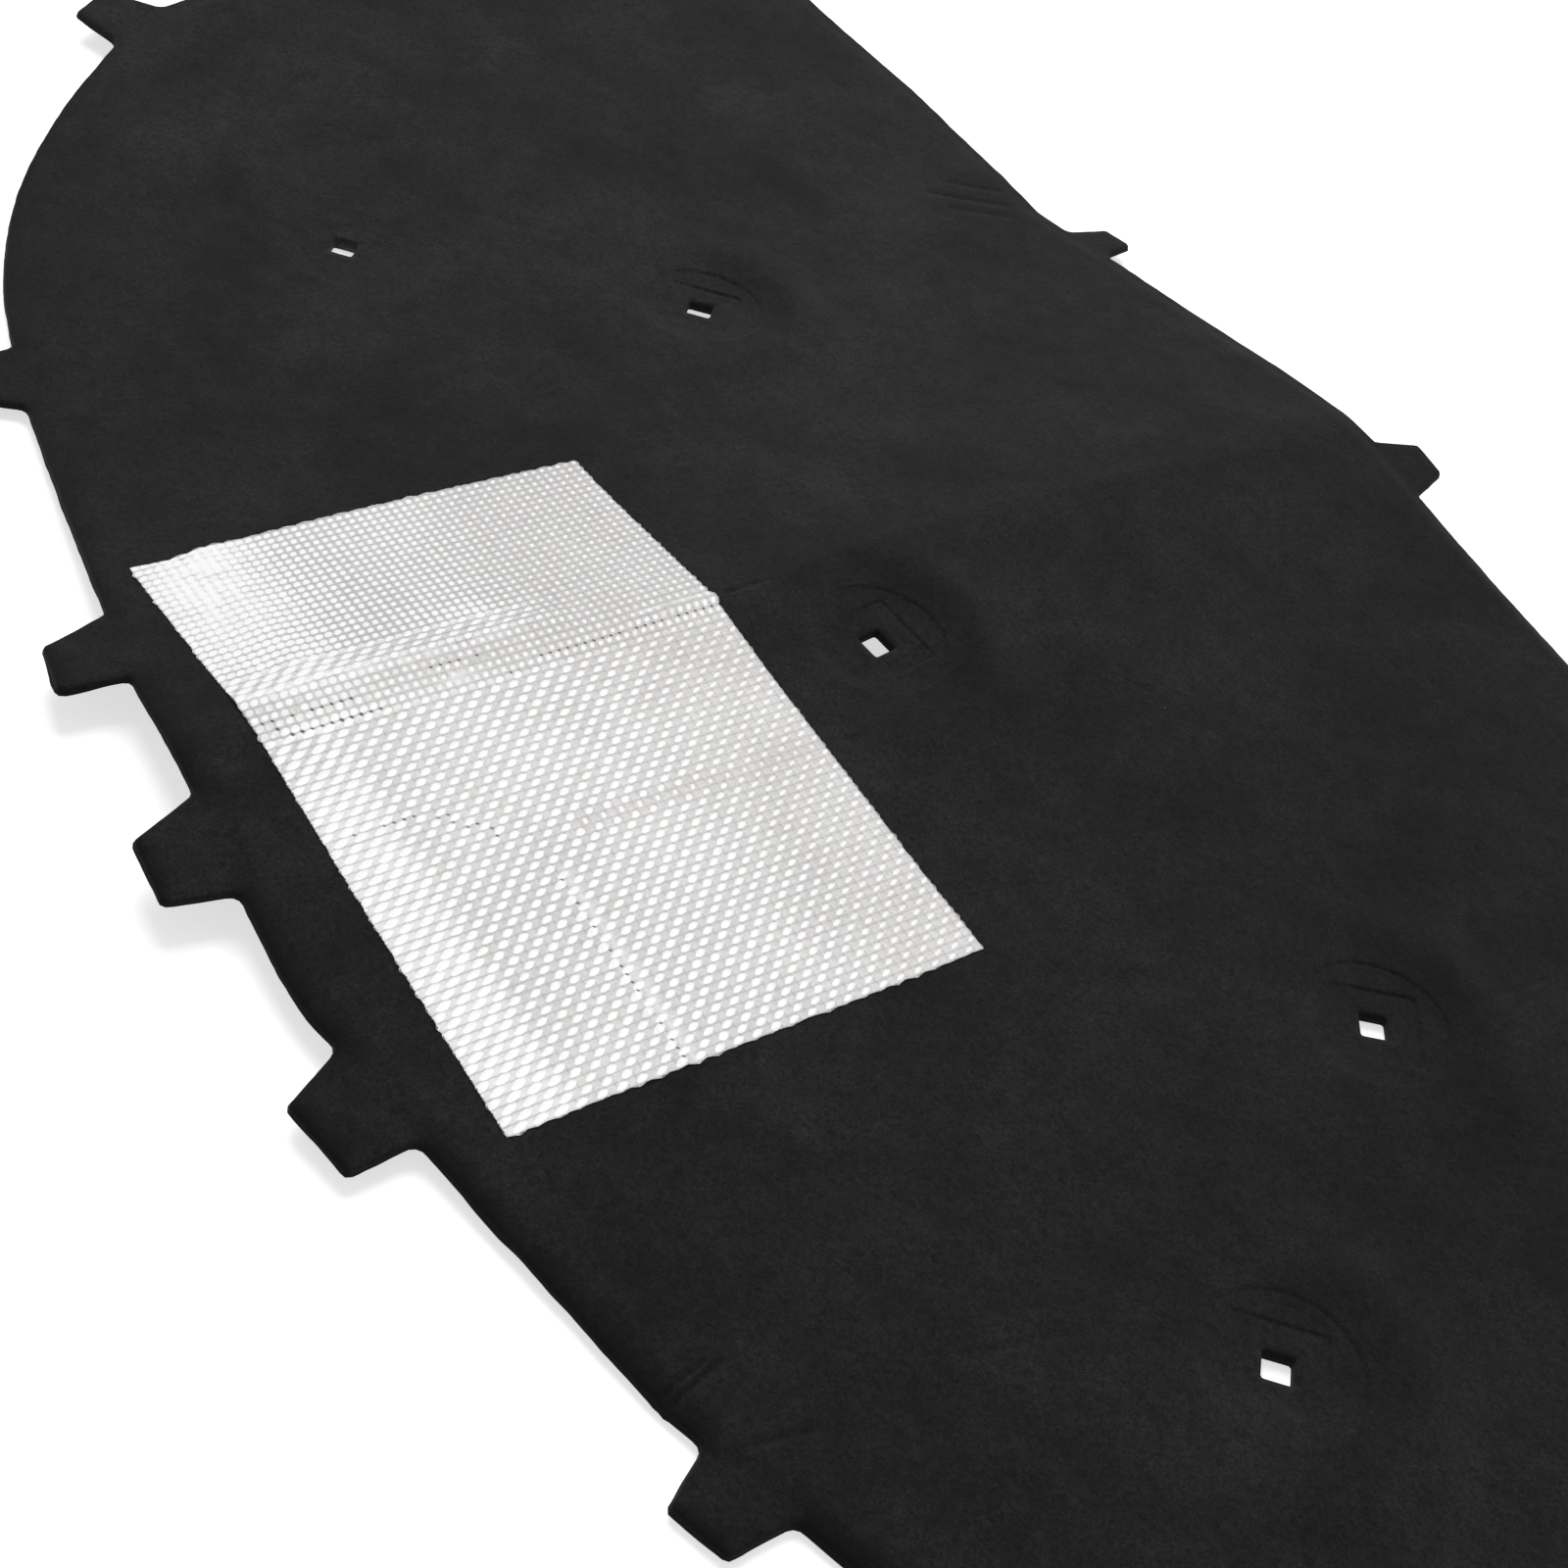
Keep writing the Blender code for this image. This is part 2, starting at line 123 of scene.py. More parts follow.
# Bend across the pad
FOLD_X = -0.0462
FOLD_HALF_WIDTH = 0.009
FAR_SLOPE = math.radians(7.56)
FAR_CURL_RADIUS = 2.564
NEAR_SLOPE = math.radians(6.42)
NEAR_CURL_RADIUS = 3.571
REST_SLOPE = math.radians(0.45)

# Camera, fitted to the photograph
CAMERA_PLACE = Vector((0.60742, -0.65536, 0.74682))
CAMERA_FORWARD = Vector((-0.51417, 0.51925, -0.68265))
CAMERA_DOWN = Vector((0.65878, -0.27058, -0.70199))
CAMERA_LENS = 57.653
CAMERA_SENSOR = 36.0

# Colours
FELT_DARK = (0.0122, 0.0122, 0.0124)
FELT_LIGHT = (0.0172, 0.0172, 0.0174)
LINT = (0.16, 0.155, 0.15)
FOIL_DARK = (0.640, 0.626, 0.620)
FOIL_LIGHT = (0.715, 0.703, 0.697)
# painted highlight colour of the foil's spots and sheen
FOIL_PAINTED_HIGHLIGHT = (0.97, 0.97, 0.97)
PINHOLE = (0.085, 0.070, 0.060)

# Light: the world's strength for diffuse rays, and the lamps' place, target, sides and power in watts
WORLD_STRENGTH = 0.22
FAR_SOFTBOX = ((-0.70, 0.22, 1.50), (0.0, 0.0, 0.0), (1.3, 1.3), 24.0)
OVERHEAD_STRIP = ((-0.35, 0.55, 1.90), (0.08, -0.16, 0.0), (0.5, 1.2), 0.9)

# Floor. Its glow is given as two distances from the middle, each with the strength there.
FLOOR_HALF_SIZE = 12.0
FLOOR_DROP = 0.0004
FLOOR_COLOR = (0.86, 0.86, 0.86)
FLOOR_GLOW = ((1.0, 0.66), (3.5, 0.90))

# Fineness of the meshes
ARC_ERROR = 0.00004
EDGE_STEP = 0.0026
TOP_STEP = 0.0040
DISH_STEP = 0.0028
CREASE_STEP = 0.0013
UNDER_STEP = 0.0120
HOLE_STEP = 0.0011
SEAT_STEP = 0.0018
DISH_RING_STEP = 0.0022
DISH_RINGS = (-0.0036, -0.0020, -0.0008, 0.0, 0.0006, 0.0012, 0.0018, 0.0026, 0.0036)
SEAT_RINGS = (0.0022, 0.0012, 0.0005, 0.0, -0.0005, -0.0010, -0.0016, -0.0024)
DISH_CLEARANCE = 0.0050
DISH_GRID_REACH = 0.036
UNDER_HOLE_CLEARANCE = 0.014
UNDER_RING_CLEARANCE = 0.0035
BEND_SAMPLES = 4001
NOISE_TABLE = 128
NOISE_ORIGIN = 1000
CHUNK = 4000

# Waves of smooth noise, each a height, a bump size and a seed
PAD_SWELL = ((0.50 * MM, 0.110, 1), (0.24 * MM, 0.045, 2))
FELT_WAVES = ((0.07 * MM, 0.012, 3), (0.035 * MM, 0.006, 4))
OUTLINE_WAVES = ((0.10 * MM, 0.011, 11), (0.10 * MM, 0.0045, 12))
LIP_WAVES = ((0.22 * MM, 0.018, 13),)


def front_edge():
    """Front edge from the far corner tab to the near one: x, y and corner radius."""
    w = HALF_WIDTH
    y = -FRONT_REACH
    return [
        (-0.889 * w, y + CORNER_RISE - 0.003, 0.006),
        (-0.815 * w, y + 0.166, 0.700),
        (-0.711 * w, y + 0.1105, 0.700),
        (-0.592 * w, y + 0.074, 0.700),
        (-0.462 * w, y + 0.051, 0.700),
        (-0.138 * w, y + 0.0125, 0.400),
        (0.115 * w, y, 0.300),
        (0.438 * w, y + 0.0365, 0.700),
        (0.600 * w, y + 0.071, 0.700),
        (0.711 * w, y + 0.1085, 0.700),
        (0.815 * w, y + 0.165, 0.700),
        (0.892 * w, y + CORNER_RISE, 0.006),
    ]


def near_side():
    """Near side edge, from the corner tab to the rear corner."""
    w = HALF_WIDTH
    return [
        (0.929 * w, -FRONT_REACH + CORNER_RISE + CORNER_TAB_ROOT, 0.006),
        (0.969 * w, 0.020, 0.900),
        (1.000 * w, 0.150, 0.900),
        (0.985 * w, REAR_REACH - 0.082, 0.600),
        (0.938 * w, REAR_REACH - 0.026, 0.060),
    ]


def rear_edge():
    """Rear edge from the near corner to the far one."""
    w = HALF_WIDTH
    y = REAR_REACH
    return [
        (0.831 * w, y - 0.0215, 0.300),
        (0.646 * w, y - 0.0175, 0.500),
        (0.446 * w, y - 0.0235, 0.100),
        (0.346 * w, y - 0.0170, 0.100),
        (0.200 * w, y - 0.0095, 0.500),
        (0.023 * w, y - 0.0040, 0.300),
        (-0.045 * w, y + 0.0005, 0.300),
        (-0.169 * w, y, 0.500),
        (-0.346 * w, y - 0.0110, 0.100),
        (-0.438 * w, y - 0.0220, 0.050),
        (-0.503 * w, y - 0.0170, 0.050),
        (-0.646 * w, y - 0.0150, 0.500),
        (-0.831 * w, y - 0.0210, 0.300),
    ]


def far_side():
    """Far side edge, the near one mirrored, from the rear corner to the corner tab."""
    return [(-x, y, radius) for x, y, radius in reversed(near_side())]


# Tabs of an edge in its order: centre x, width, length and the two tapers
FRONT_TABS = [
    (-0.317, 0.046, 0.027, 0.0100, 0.0080),
    (-0.118, 0.044, 0.030, 0.0165, -0.0025),
    (0.0015, 0.051, 0.030, 0.0160, 0.0030),
    (0.1305, 0.049, 0.030, 0.0105, 0.0035),
    (0.324, 0.038, 0.027, 0.0055, 0.0080),
]
REAR_TABS = [
    (0.250, 0.0285, 0.023, 0.0105, -0.0010),
    (-0.0065, 0.041, 0.0255, 0.0110, 0.0075),
    (-0.250, 0.0285, 0.023, -0.0010, 0.0105),
]


def tab_corners(root_a, root_b, length, taper_a, taper_b):
    """Four corners of a tab that stands out to the right of the line from root_a to root_b."""
    a = Vector(root_a)
    b = Vector(root_b)
    along = (b - a).normalized()
    out = Vector((along.y, -along.x))
    tip_a = a + out * length + along * taper_a
    tip_b = b + out * length - along * taper_b
    return [
        (a.x, a.y, TAB_ROOT_RADIUS),
        (tip_a.x, tip_a.y, TAB_TIP_RADIUS),
        (tip_b.x, tip_b.y, TAB_TIP_RADIUS),
        (b.x, b.y, TAB_ROOT_RADIUS),
    ]


def edge_point(edge, x):
    """Point of an edge, given as corners, at the given x."""
    def miss(side):
        low, high = sorted((side[0][0], side[1][0]))
        return max(low - x, x - high)

    start, end = min(zip(edge, edge[1:]), key=miss)
    return x, start[1] + (end[1] - start[1]) * (x - start[0]) / (end[0] - start[0])


def with_tabs(edge, tabs):
    """Edge corners with each tab's corners put in."""
    direction = 1 if edge[-1][0] > edge[0][0] else -1
    corners = list(edge)
    for centre, width, length, taper_a, taper_b in tabs:
        start = centre - direction * width / 2
        end = centre + direction * width / 2
        tab = tab_corners(edge_point(edge, start), edge_point(edge, end), length, taper_a, taper_b)
        corners = [c for c in corners if abs(c[0] - centre) > width / 2]
        place = sum(1 for c in corners if (centre - c[0]) * direction > 0)
        corners[place:place] = tab
    return corners


def corner_tab(root_a, root_b):
    corners = tab_corners(root_a[:2], root_b[:2], CORNER_TAB_LENGTH, CORNER_TAB_TAPER, CORNER_TAB_TAPER)
    return corners[1:3]


def rounded(corners):
    """Closed outline through the corners, each rounded to its radius as far as its sides allow."""
    points = []
    count = len(corners)
    for i, (x, y, radius) in enumerate(corners):
        here = Vector((x, y))
        before = Vector(corners[i - 1][:2]) - here
        after = Vector(corners[(i + 1) % count][:2]) - here
        turn = math.pi - before.angle(after)
        if turn < 0.001:
            points.append(here)
            continue
        reach = min(radius * math.tan(turn / 2), 0.48 * before.length, 0.48 * after.length)
        radius = reach / math.tan(turn / 2)
        inward = (before.normalized() + after.normalized()).normalized()
        centre = here + inward * (radius / math.cos(turn / 2))
        start = here + before.normalized() * reach - centre
        sense = 1 if before.cross(after) < 0 else -1
        step = 2 * math.acos(max(0.0, 1 - ARC_ERROR / radius))
        steps = max(2, math.ceil(turn / step))
        for k in range(steps + 1):
            points.append(centre + Matrix.Rotation(sense * turn * k / steps, 2) @ start)
    return np.array(points)


def tabbed_outline():
    front = front_edge()
    near = near_side()
    far = far_side()
    corners = with_tabs(front, FRONT_TABS)
    corners += corner_tab(front[-1], near[0]) + near
    corners += with_tabs(rear_edge(), REAR_TABS)
    corners += far + corner_tab(far[-1], front[0])
    return rounded(corners)


def plain_outline():
    """Outline of the pad without its tabs."""
    corners = front_edge() + near_side() + rear_edge() + far_side()
    return rounded([(x, y, max(radius, BLOCK_CORNER_RADIUS)) for x, y, radius in corners])


def spaced(points, step):
    """Closed outline with its points moved to even spacing."""
    closed = np.vstack([points, points[:1]])
    along = np.concatenate([[0], np.cumsum(np.linalg.norm(np.diff(closed, axis=0), axis=1))])
    count = int(round(along[-1] / step))
    at = np.arange(count) * along[-1] / count
    return np.stack([np.interp(at, along, closed[:, k]) for k in (0, 1)], 1)


def inward_normals(points):
    tangent = np.roll(points, -1, 0) - np.roll(points, 1, 0)
    tangent /= np.linalg.norm(tangent, axis=1)[:, None]
    return np.stack([-tangent[:, 1], tangent[:, 0]], 1)


def distance_to(points, outline):
    """Distance from each point to a closed outline, positive inside."""
    a = outline
    b = np.roll(outline, -1, 0)
    ab = b - a
    length2 = (ab ** 2).sum(1)
    distance = np.empty(len(points))
    inside = np.zeros(len(points), bool)
    for start in range(0, len(points), CHUNK):
        p = points[start:start + CHUNK]
        ap = p[:, None] - a
        share = np.clip((ap * ab).sum(2) / length2, 0, 1)
        gap = ap - share[..., None] * ab
        distance[start:start + CHUNK] = np.sqrt((gap ** 2).sum(2).min(1))
        straddle = (a[:, 1] > p[:, None, 1]) != (b[:, 1] > p[:, None, 1])
        with np.errstate(divide="ignore", invalid="ignore"):
            crossing = a[:, 0] + (p[:, None, 1] - a[:, 1]) * ab[:, 0] / ab[:, 1]
        hits = straddle & (crossing > p[:, None, 0])
        inside[start:start + CHUNK] = hits.sum(1) % 2 == 1
    return np.where(inside, distance, -distance)


def ramp(t):
    """Smooth step from 0 to 1."""
    t = np.clip(t, 0, 1)
    return t * t * (3 - 2 * t)


def rise(value, start, end):
    """Smooth step from 0 at the start to 1 at the end."""
    return ramp((value - start) / (end - start))


def mix(a, b, share):
    return a + (b - a) * share


def bump_at(distance, half_width):
    return np.exp(-(distance / half_width) ** 2)


def flat_bump(distance, half_width):
    """Bump with a flatter top and steeper sides."""
    return np.exp(-(distance / half_width) ** 4)


def value_noise(x, y, size, seed):
    """Smooth noise of about unit height, with bumps of the given size."""
    table = np.random.default_rng(seed).standard_normal((NOISE_TABLE, NOISE_TABLE))
    u = x / size
    v = y / size
    i = np.floor(u).astype(int)
    j = np.floor(v).astype(int)
    s = ramp(u - i)
    t = ramp(v - j)

    def at(column, row):
        return table[(column + NOISE_ORIGIN) % NOISE_TABLE, (row + NOISE_ORIGIN) % NOISE_TABLE]

    low = mix(at(i, j), at(i + 1, j), s)
    high = mix(at(i, j + 1), at(i + 1, j + 1), s)
    return mix(low, high, t)


def waves(x, y, layers):
    """Height that a few waves of smooth noise add."""
    return sum(height * value_noise(x, y, size, seed) for height, size, seed in layers)


def from_clip(x, y, clip):
    """Distance to the middle of a clip hole."""
    return np.hypot(x - clip.x, y - clip.y)


def square_distance(x, y, clip, half, radius):
    """Distance to the rounded square about a clip place, negative inside."""
    dx = x - clip.x
    dy = y - clip.y
    u = dx * math.cos(clip.turn) + dy * math.sin(clip.turn)
    v = -dx * math.sin(clip.turn) + dy * math.cos(clip.turn)
    du = np.abs(u) - half + radius
    dv = np.abs(v) - half + radius
    outside = np.hypot(np.maximum(du, 0), np.maximum(dv, 0))
    return outside + np.minimum(np.maximum(du, dv), 0) - radius


Clip = namedtuple("Clip", "x y turn relief crispness")


def clip_places():
    """Place, turn, depth of relief and crispness of each clip hole, the far outer one with least dish."""
    places = [Clip(CENTRE_HOLE_X, CENTRE_HOLE_Y, math.radians(8), 1.0, 0.75)]
    for side, relief, crispness, rear_turn in ((-1, 0.12, 1.0, 45), (1, 1.0, 0.75, 52)):
        x = CENTRE_HOLE_X + side * REAR_HOLE_X
        places.append(Clip(x, CENTRE_HOLE_Y + REAR_HOLE_Y, math.radians(rear_turn), 0.9, 1.0))
        x = CENTRE_HOLE_X + side * OUTER_HOLE_X
        places.append(Clip(x, CENTRE_HOLE_Y + OUTER_HOLE_Y, math.radians(45), relief, crispness))
    return places


CLIPS = clip_places()

# Creases pressed into the felt: the points of each in the flat pad, its half width and its height
FELT_CREASES = [
    ([(-0.0451, -0.056), (-0.0458, -0.031)], 0.0011, -0.0011),
    ([(-0.0448, -0.034), (-0.0495, 0.014), (-0.0507, 0.067)], 0.0040, 0.00035),
    ([(-0.0507, 0.067), (-0.0494, 0.121), (-0.0474, 0.190)], 0.0040, 0.00035),
    ([(-0.0474, 0.190), (-0.0398, 0.251), (-0.0403, 0.287)], 0.0040, 0.00035),
    ([(-0.331, 0.290), (-0.312, 0.318)], 0.0027, -0.0006),
    ([(-0.322, 0.274), (-0.298, 0.311)], 0.0025, -0.0008),
    ([(-0.304, 0.276), (-0.287, 0.305)], 0.0030, -0.0007),
    ([(0.288, -0.291), (0.2815, -0.266)], 0.0014, -0.0017),
    ([(0.2836, -0.292), (0.2786, -0.2705)], 0.0014, -0.0014),
    ([(0.3136, -0.276), (0.3188, -0.250)], 0.0015, -0.0009),
    ([(0.3214, -0.184), (0.3278, -0.148)], 0.0025, -0.0005),
    ([(-0.381, 0.001), (-0.349, 0.032)], 0.0050, -0.0004),
    ([(-0.312, 0.169), (-0.319, 0.215)], 0.0040, -0.0003),
    ([(0.2824, 0.136), (0.2853, 0.164)], 0.0018, -0.0003),
    ([(0.295, 0.110), (0.288, 0.172)], 0.0022, -0.0003),
    ([(-0.218, 0.012), (-0.182, 0.007)], 0.0030, -0.0002),
    ([(-0.132, 0.087), (-0.061, 0.085)], 0.0030, -0.00015),
    ([(0.057, 0.082), (0.176, 0.080)], 0.0030, -0.00015),
    ([(0.322, 0.079), (0.334, 0.092)], 0.0022, -0.0003),
    ([(0.336, 0.077), (0.348, 0.093)], 0.0022, -0.0003),
    ([(0.351, 0.079), (0.364, 0.096)], 0.0022, -0.0003),
]

# Places in the foil that both its creases and its painted highlight spots follow
STRIP_X = -0.0437
ROPE_Y = -0.2095
NEAR_CREASE = [(0.048, -0.062), (0.048, -0.185)]

# Creases and ridges in the foil cloth, given the same way
FOIL_CREASES = [
    ([(STRIP_X, -0.0600), (STRIP_X, -0.088)], 0.0026, 0.0012),
    ([(STRIP_X, -0.0880), (-0.0430, -0.110)], 0.0026, 0.0007),
    ([(-0.0355, -0.0930), (-0.0355, -0.168)], 0.0011, -0.0004),
    ([(-0.0468, -0.1840), (-0.0430, -0.199), (-0.0430, -0.206)], 0.0013, -0.0005),
    ([(-0.0310, -0.2320), (-0.0323, -0.275), (-0.0440, -0.288)], 0.0012, -0.0005),
    ([(-0.0600, -0.1350), (-0.0600, -0.288)], 0.0060, 0.0013),
    (NEAR_CREASE, 0.0012, 0.00018),
    ([(0.0640, ROPE_Y), (0.1700, ROPE_Y)], 0.0016, 0.0006),
    ([(0.0395, -0.2210), (0.0240, -0.240), (0.0190, -0.275)], 0.0014, -0.00015),
    ([(-0.1700, -0.2560), (-0.0700, -0.2540)], 0.0110, 0.0013),
]

# Rows of pinholes in the foil, at yarn crossings: the points of the row, the share of the holes that
# show and their typical size
PINHOLE_ROWS = [
    ([(-0.0400, -0.0640), (-0.0370, -0.1750)], 0.85, 0.00055),
    ([(-0.0500, -0.1800), (-0.0460, -0.2040)], 0.80, 0.00060),
    ([(-0.0360, -0.2340), (-0.0370, -0.2750), (-0.0460, -0.2870)], 0.95, 0.00085),
    ([(-0.0420, -0.2400), (-0.0440, -0.2830)], 0.60, 0.00075),
    ([(0.0395, -0.2210), (0.0225, -0.2390), (0.0190, -0.2750)], 0.80, 0.00060),
    ([(0.0700, -0.2078), (0.1660, -0.2078)], 0.65, 0.00050),
]


def distance_to_line(x, y, points):
    """Distance to an open line through the points."""
    nearest = np.full(np.shape(x), np.inf)
    for (ax, ay), (bx, by) in zip(points, points[1:]):
        dx = bx - ax
        dy = by - ay
        share = np.clip(((x - ax) * dx + (y - ay) * dy) / (dx * dx + dy * dy), 0, 1)
        nearest = np.minimum(nearest, np.hypot(x - ax - share * dx, y - ay - share * dy))
    return nearest


def creased(x, y, creases):
    """Height that a list of creases adds."""
    lift = np.zeros(np.shape(x))
    for points, half_width, height in creases:
        lift += height * bump_at(distance_to_line(x, y, points), half_width)
    return lift


def rim_drop(x, y, block):
    """How far the engine side lies below the middle, at the rim and on the tabs."""
    inside = distance_to(np.column_stack([x, y]), block)
    near = rise(x, -0.15, 0.15)
    flat = mix(FAR_RIM_FLAT, NEAR_RIM_FLAT, near)
    return mix(FAR_RIM_DROP, NEAR_RIM_DROP, near) * (1 - ramp((inside - flat) / RIM_DROP_WIDTH))


def clip_relief(x, y, clip):
    """Depth of the dimple, dish and seat round a clip hole. The rear side is crisper, with a mound."""
    radius = from_clip(x, y, clip)
    rearward = (y - clip.y) / np.maximum(radius, MM)
    nearward = (x - clip.x) / np.maximum(radius, MM)
    inside = DISH_DIAMETER / 2 - radius
    crisp = clip.crispness * (0.08 + 0.55 * ramp(0.4 + 0.7 * rearward))
    depth = DISH_DEPTH * mix(rise(inside, -0.0020, 0.0090), rise(inside, -0.0003, 0.0011), crisp)
    depth += DISH_GROOVE * crisp * bump_at(inside - 0.0015, 0.0008)
    gap = square_distance(x, y, clip, SEAT_SIZE / 2, SEAT_CORNER_RADIUS)
    crisp = clip.crispness * ramp(0.40 + 0.75 * rearward)
    depth += 0.80 * SEAT_DEPTH * mix(rise(gap, 0.0020, -0.0060), rise(gap, 0.0005, -0.0005), crisp)
    depth += SEAT_GROOVE * crisp * bump_at(gap + 0.0011, 0.0007)
    mound = bump_at(radius - MOUND_RADIUS, MOUND_HALF_WIDTH)
    depth -= MOUND_HEIGHT * mound * ramp(0.40 + 0.55 * rearward + 0.35 * nearward)
    return clip.relief * depth + DIMPLE_DEPTH * bump_at(radius, DIMPLE_RADIUS)


def felt_top(x, y, block):
    """Height of the felt's engine side over the flat hood side."""
    z = BODY_THICKNESS + waves(x, y, PAD_SWELL) + creased(x, y, FELT_CREASES) - rim_drop(x, y, block)
    return z + waves(x, y, FELT_WAVES) - sum(clip_relief(x, y, clip) for clip in CLIPS)


class Bend:
    """Maps flat coordinates to the shape the pad lies in."""

    def __init__(self):
        reach = HALF_WIDTH + CORNER_TAB_LENGTH + 0.02
        self.x = np.linspace(-reach, reach, BEND_SAMPLES)
        middle = (self.x[1:] + self.x[:-1]) / 2
        far = FAR_SLOPE + (middle - FOLD_X) / FAR_CURL_RADIUS
        near = -NEAR_SLOPE + (middle - FOLD_X) / NEAR_CURL_RADIUS
        share = np.clip(0.5 + (middle - FOLD_X) / (2 * FOLD_HALF_WIDTH), 0, 1)
        angle = far + (near - far) * share
        angle = angle * ramp((np.abs(angle) / REST_SLOPE - 0.7) / 0.6)
        step = np.diff(self.x)
        self.base_x = np.concatenate([[0], np.cumsum(np.cos(angle) * step)])
        self.base_z = np.concatenate([[0], np.cumsum(np.sin(angle) * step)])
        tilt = np.interp(self.x, middle, angle)
        self.up_x = -np.sin(tilt)
        self.up_z = np.cos(tilt)
        self.shift = np.zeros(3)

    def place(self, flat):
        x, y, z = flat[:, 0], flat[:, 1], flat[:, 2]
        bent_x = np.interp(x, self.x, self.base_x) + np.interp(x, self.x, self.up_x) * z
        bent_z = np.interp(x, self.x, self.base_z) + np.interp(x, self.x, self.up_z) * z
        return np.stack([bent_x, y, bent_z], 1) + self.shift

    def fit(self, flat, low, high):
        """Shifts the bent shape so that the flat points' box has the middle and the base of a box."""
        bent = self.place(flat)
        middle = (np.array(low) + np.array(high)) / 2
        self.shift = middle - (bent.min(0) + bent.max(0)) / 2
        self.shift[2] = low[2] - bent[:, 2].min()


def triangulate(rings, points):
    """Triangles over loose points and closed rings, whose first one is the outer edge."""
    coords = []
    edges = []
    for ring in rings:
        start = len(coords)
        coords += [Vector(p) for p in ring]
        edges += [(start + i, start + (i + 1) % len(ring)) for i in range(len(ring))]
    coords += [Vector(p) for p in points]
    verts, _, faces, _, _, _ = delaunay_2d_cdt(coords, edges, [], 1, 1e-7)
    return np.array(verts), np.array(faces)


def jittered_grid(low, high, step, seed):
    rng = np.random.default_rng(seed)
    xs = np.arange(low[0], high[0], step)
    ys = np.arange(low[1], high[1], step * 0.866)
    x, y = np.meshgrid(xs, ys)
    x = x + step / 2 * (np.arange(len(ys))[:, None] % 2)
    points = np.stack([x.ravel(), y.ravel()], 1)
    return points + rng.uniform(-0.18, 0.18, points.shape) * step


def circle(x, y, radius, step):
    count = max(12, int(round(2 * math.pi * radius / step)))
    angle = np.arange(count) * 2 * math.pi / count
    return np.stack([x + radius * np.cos(angle), y + radius * np.sin(angle)], 1)


def square_ring(clip, half, radius, step):
    """Rounded square about a clip place, as evenly spaced points."""
    corners = [(sx * half, sy * half, radius) for sx, sy in ((-1, -1), (1, -1), (1, 1), (-1, 1))]
    ring = spaced(rounded(corners), step)
    turn = np.array(Matrix.Rotation(clip.turn, 2))
    return ring @ turn.T + (clip.x, clip.y)


def hole_rings():
    return [square_ring(clip, HOLE_SIZE / 2, HOLE_CORNER_RADIUS, HOLE_STEP) for clip in CLIPS]


def crease_points(creases, outline):
    """Fine grid points along the narrow creases that lie inside an outline."""
    found = []
    for k, (points, half_width, _) in enumerate(creases):
        reach = 2.2 * half_width + CREASE_STEP
        low = np.min(points, axis=0) - reach
        high = np.max(points, axis=0) + reach
        step = max(CREASE_STEP, 0.55 * half_width)
        grid = jittered_grid(low, high, step, 50 + k)
        found.append(grid[distance_to_line(*grid.T, points) < reach])
    grid = np.vstack(found)
    return grid[distance_to(grid, outline) > EDGE_ROUND + 0.0020]


def dish_points():
    """Fine grid points inside the dishes, clear of the rings there."""
    found = []
    for k, clip in enumerate(CLIPS):
        centre = np.array((clip.x, clip.y))
        fine = jittered_grid(centre - DISH_GRID_REACH, centre + DISH_GRID_REACH, DISH_STEP, 31 + k)
        x, y = fine.T
        seat = square_distance(x, y, clip, SEAT_SIZE / 2, SEAT_CORNER_RADIUS)
        hole = square_distance(x, y, clip, HOLE_SIZE / 2, HOLE_CORNER_RADIUS)
        keep = from_clip(x, y, clip) < DISH_DIAMETER / 2 - DISH_CLEARANCE
        keep &= (np.abs(seat + 0.0003) > 0.0028) & (hole > 0.0016)
        found.append(fine[keep])
    return np.vstack(found)


def engine_side(outline, inward):
    """Points and triangles of the engine side, inside the rounded edge."""
    rings = [outline + inward * EDGE_ROUND] + hole_rings()
    for clip in CLIPS:
        for inside in DISH_RINGS:
            rings.append(circle(clip.x, clip.y, DISH_DIAMETER / 2 - inside, DISH_RING_STEP))
        for gap in SEAT_RINGS:
            rings.append(square_ring(clip, SEAT_SIZE / 2 + gap, SEAT_CORNER_RADIUS + gap, SEAT_STEP))
    grid = jittered_grid(outline.min(0), outline.max(0), TOP_STEP, 21)
    grid = grid[distance_to(grid, outline[::3]) > EDGE_ROUND + 0.6 * TOP_STEP]
    fine = crease_points(FELT_CREASES, outline[::3])
    for clip in CLIPS:
        clear = DISH_DIAMETER / 2 + DISH_CLEARANCE
        grid = grid[from_clip(*grid.T, clip) > clear]
        fine = fine[from_clip(*fine.T, clip) > clear]
    for points, half_width, _ in FELT_CREASES:
        reach = 2.2 * half_width + 2 * CREASE_STEP
        grid = grid[distance_to_line(*grid.T, points) > reach]
    points, faces = triangulate(rings, np.vstack([grid, fine, dish_points()]))
    return points, without_holes(points, faces)


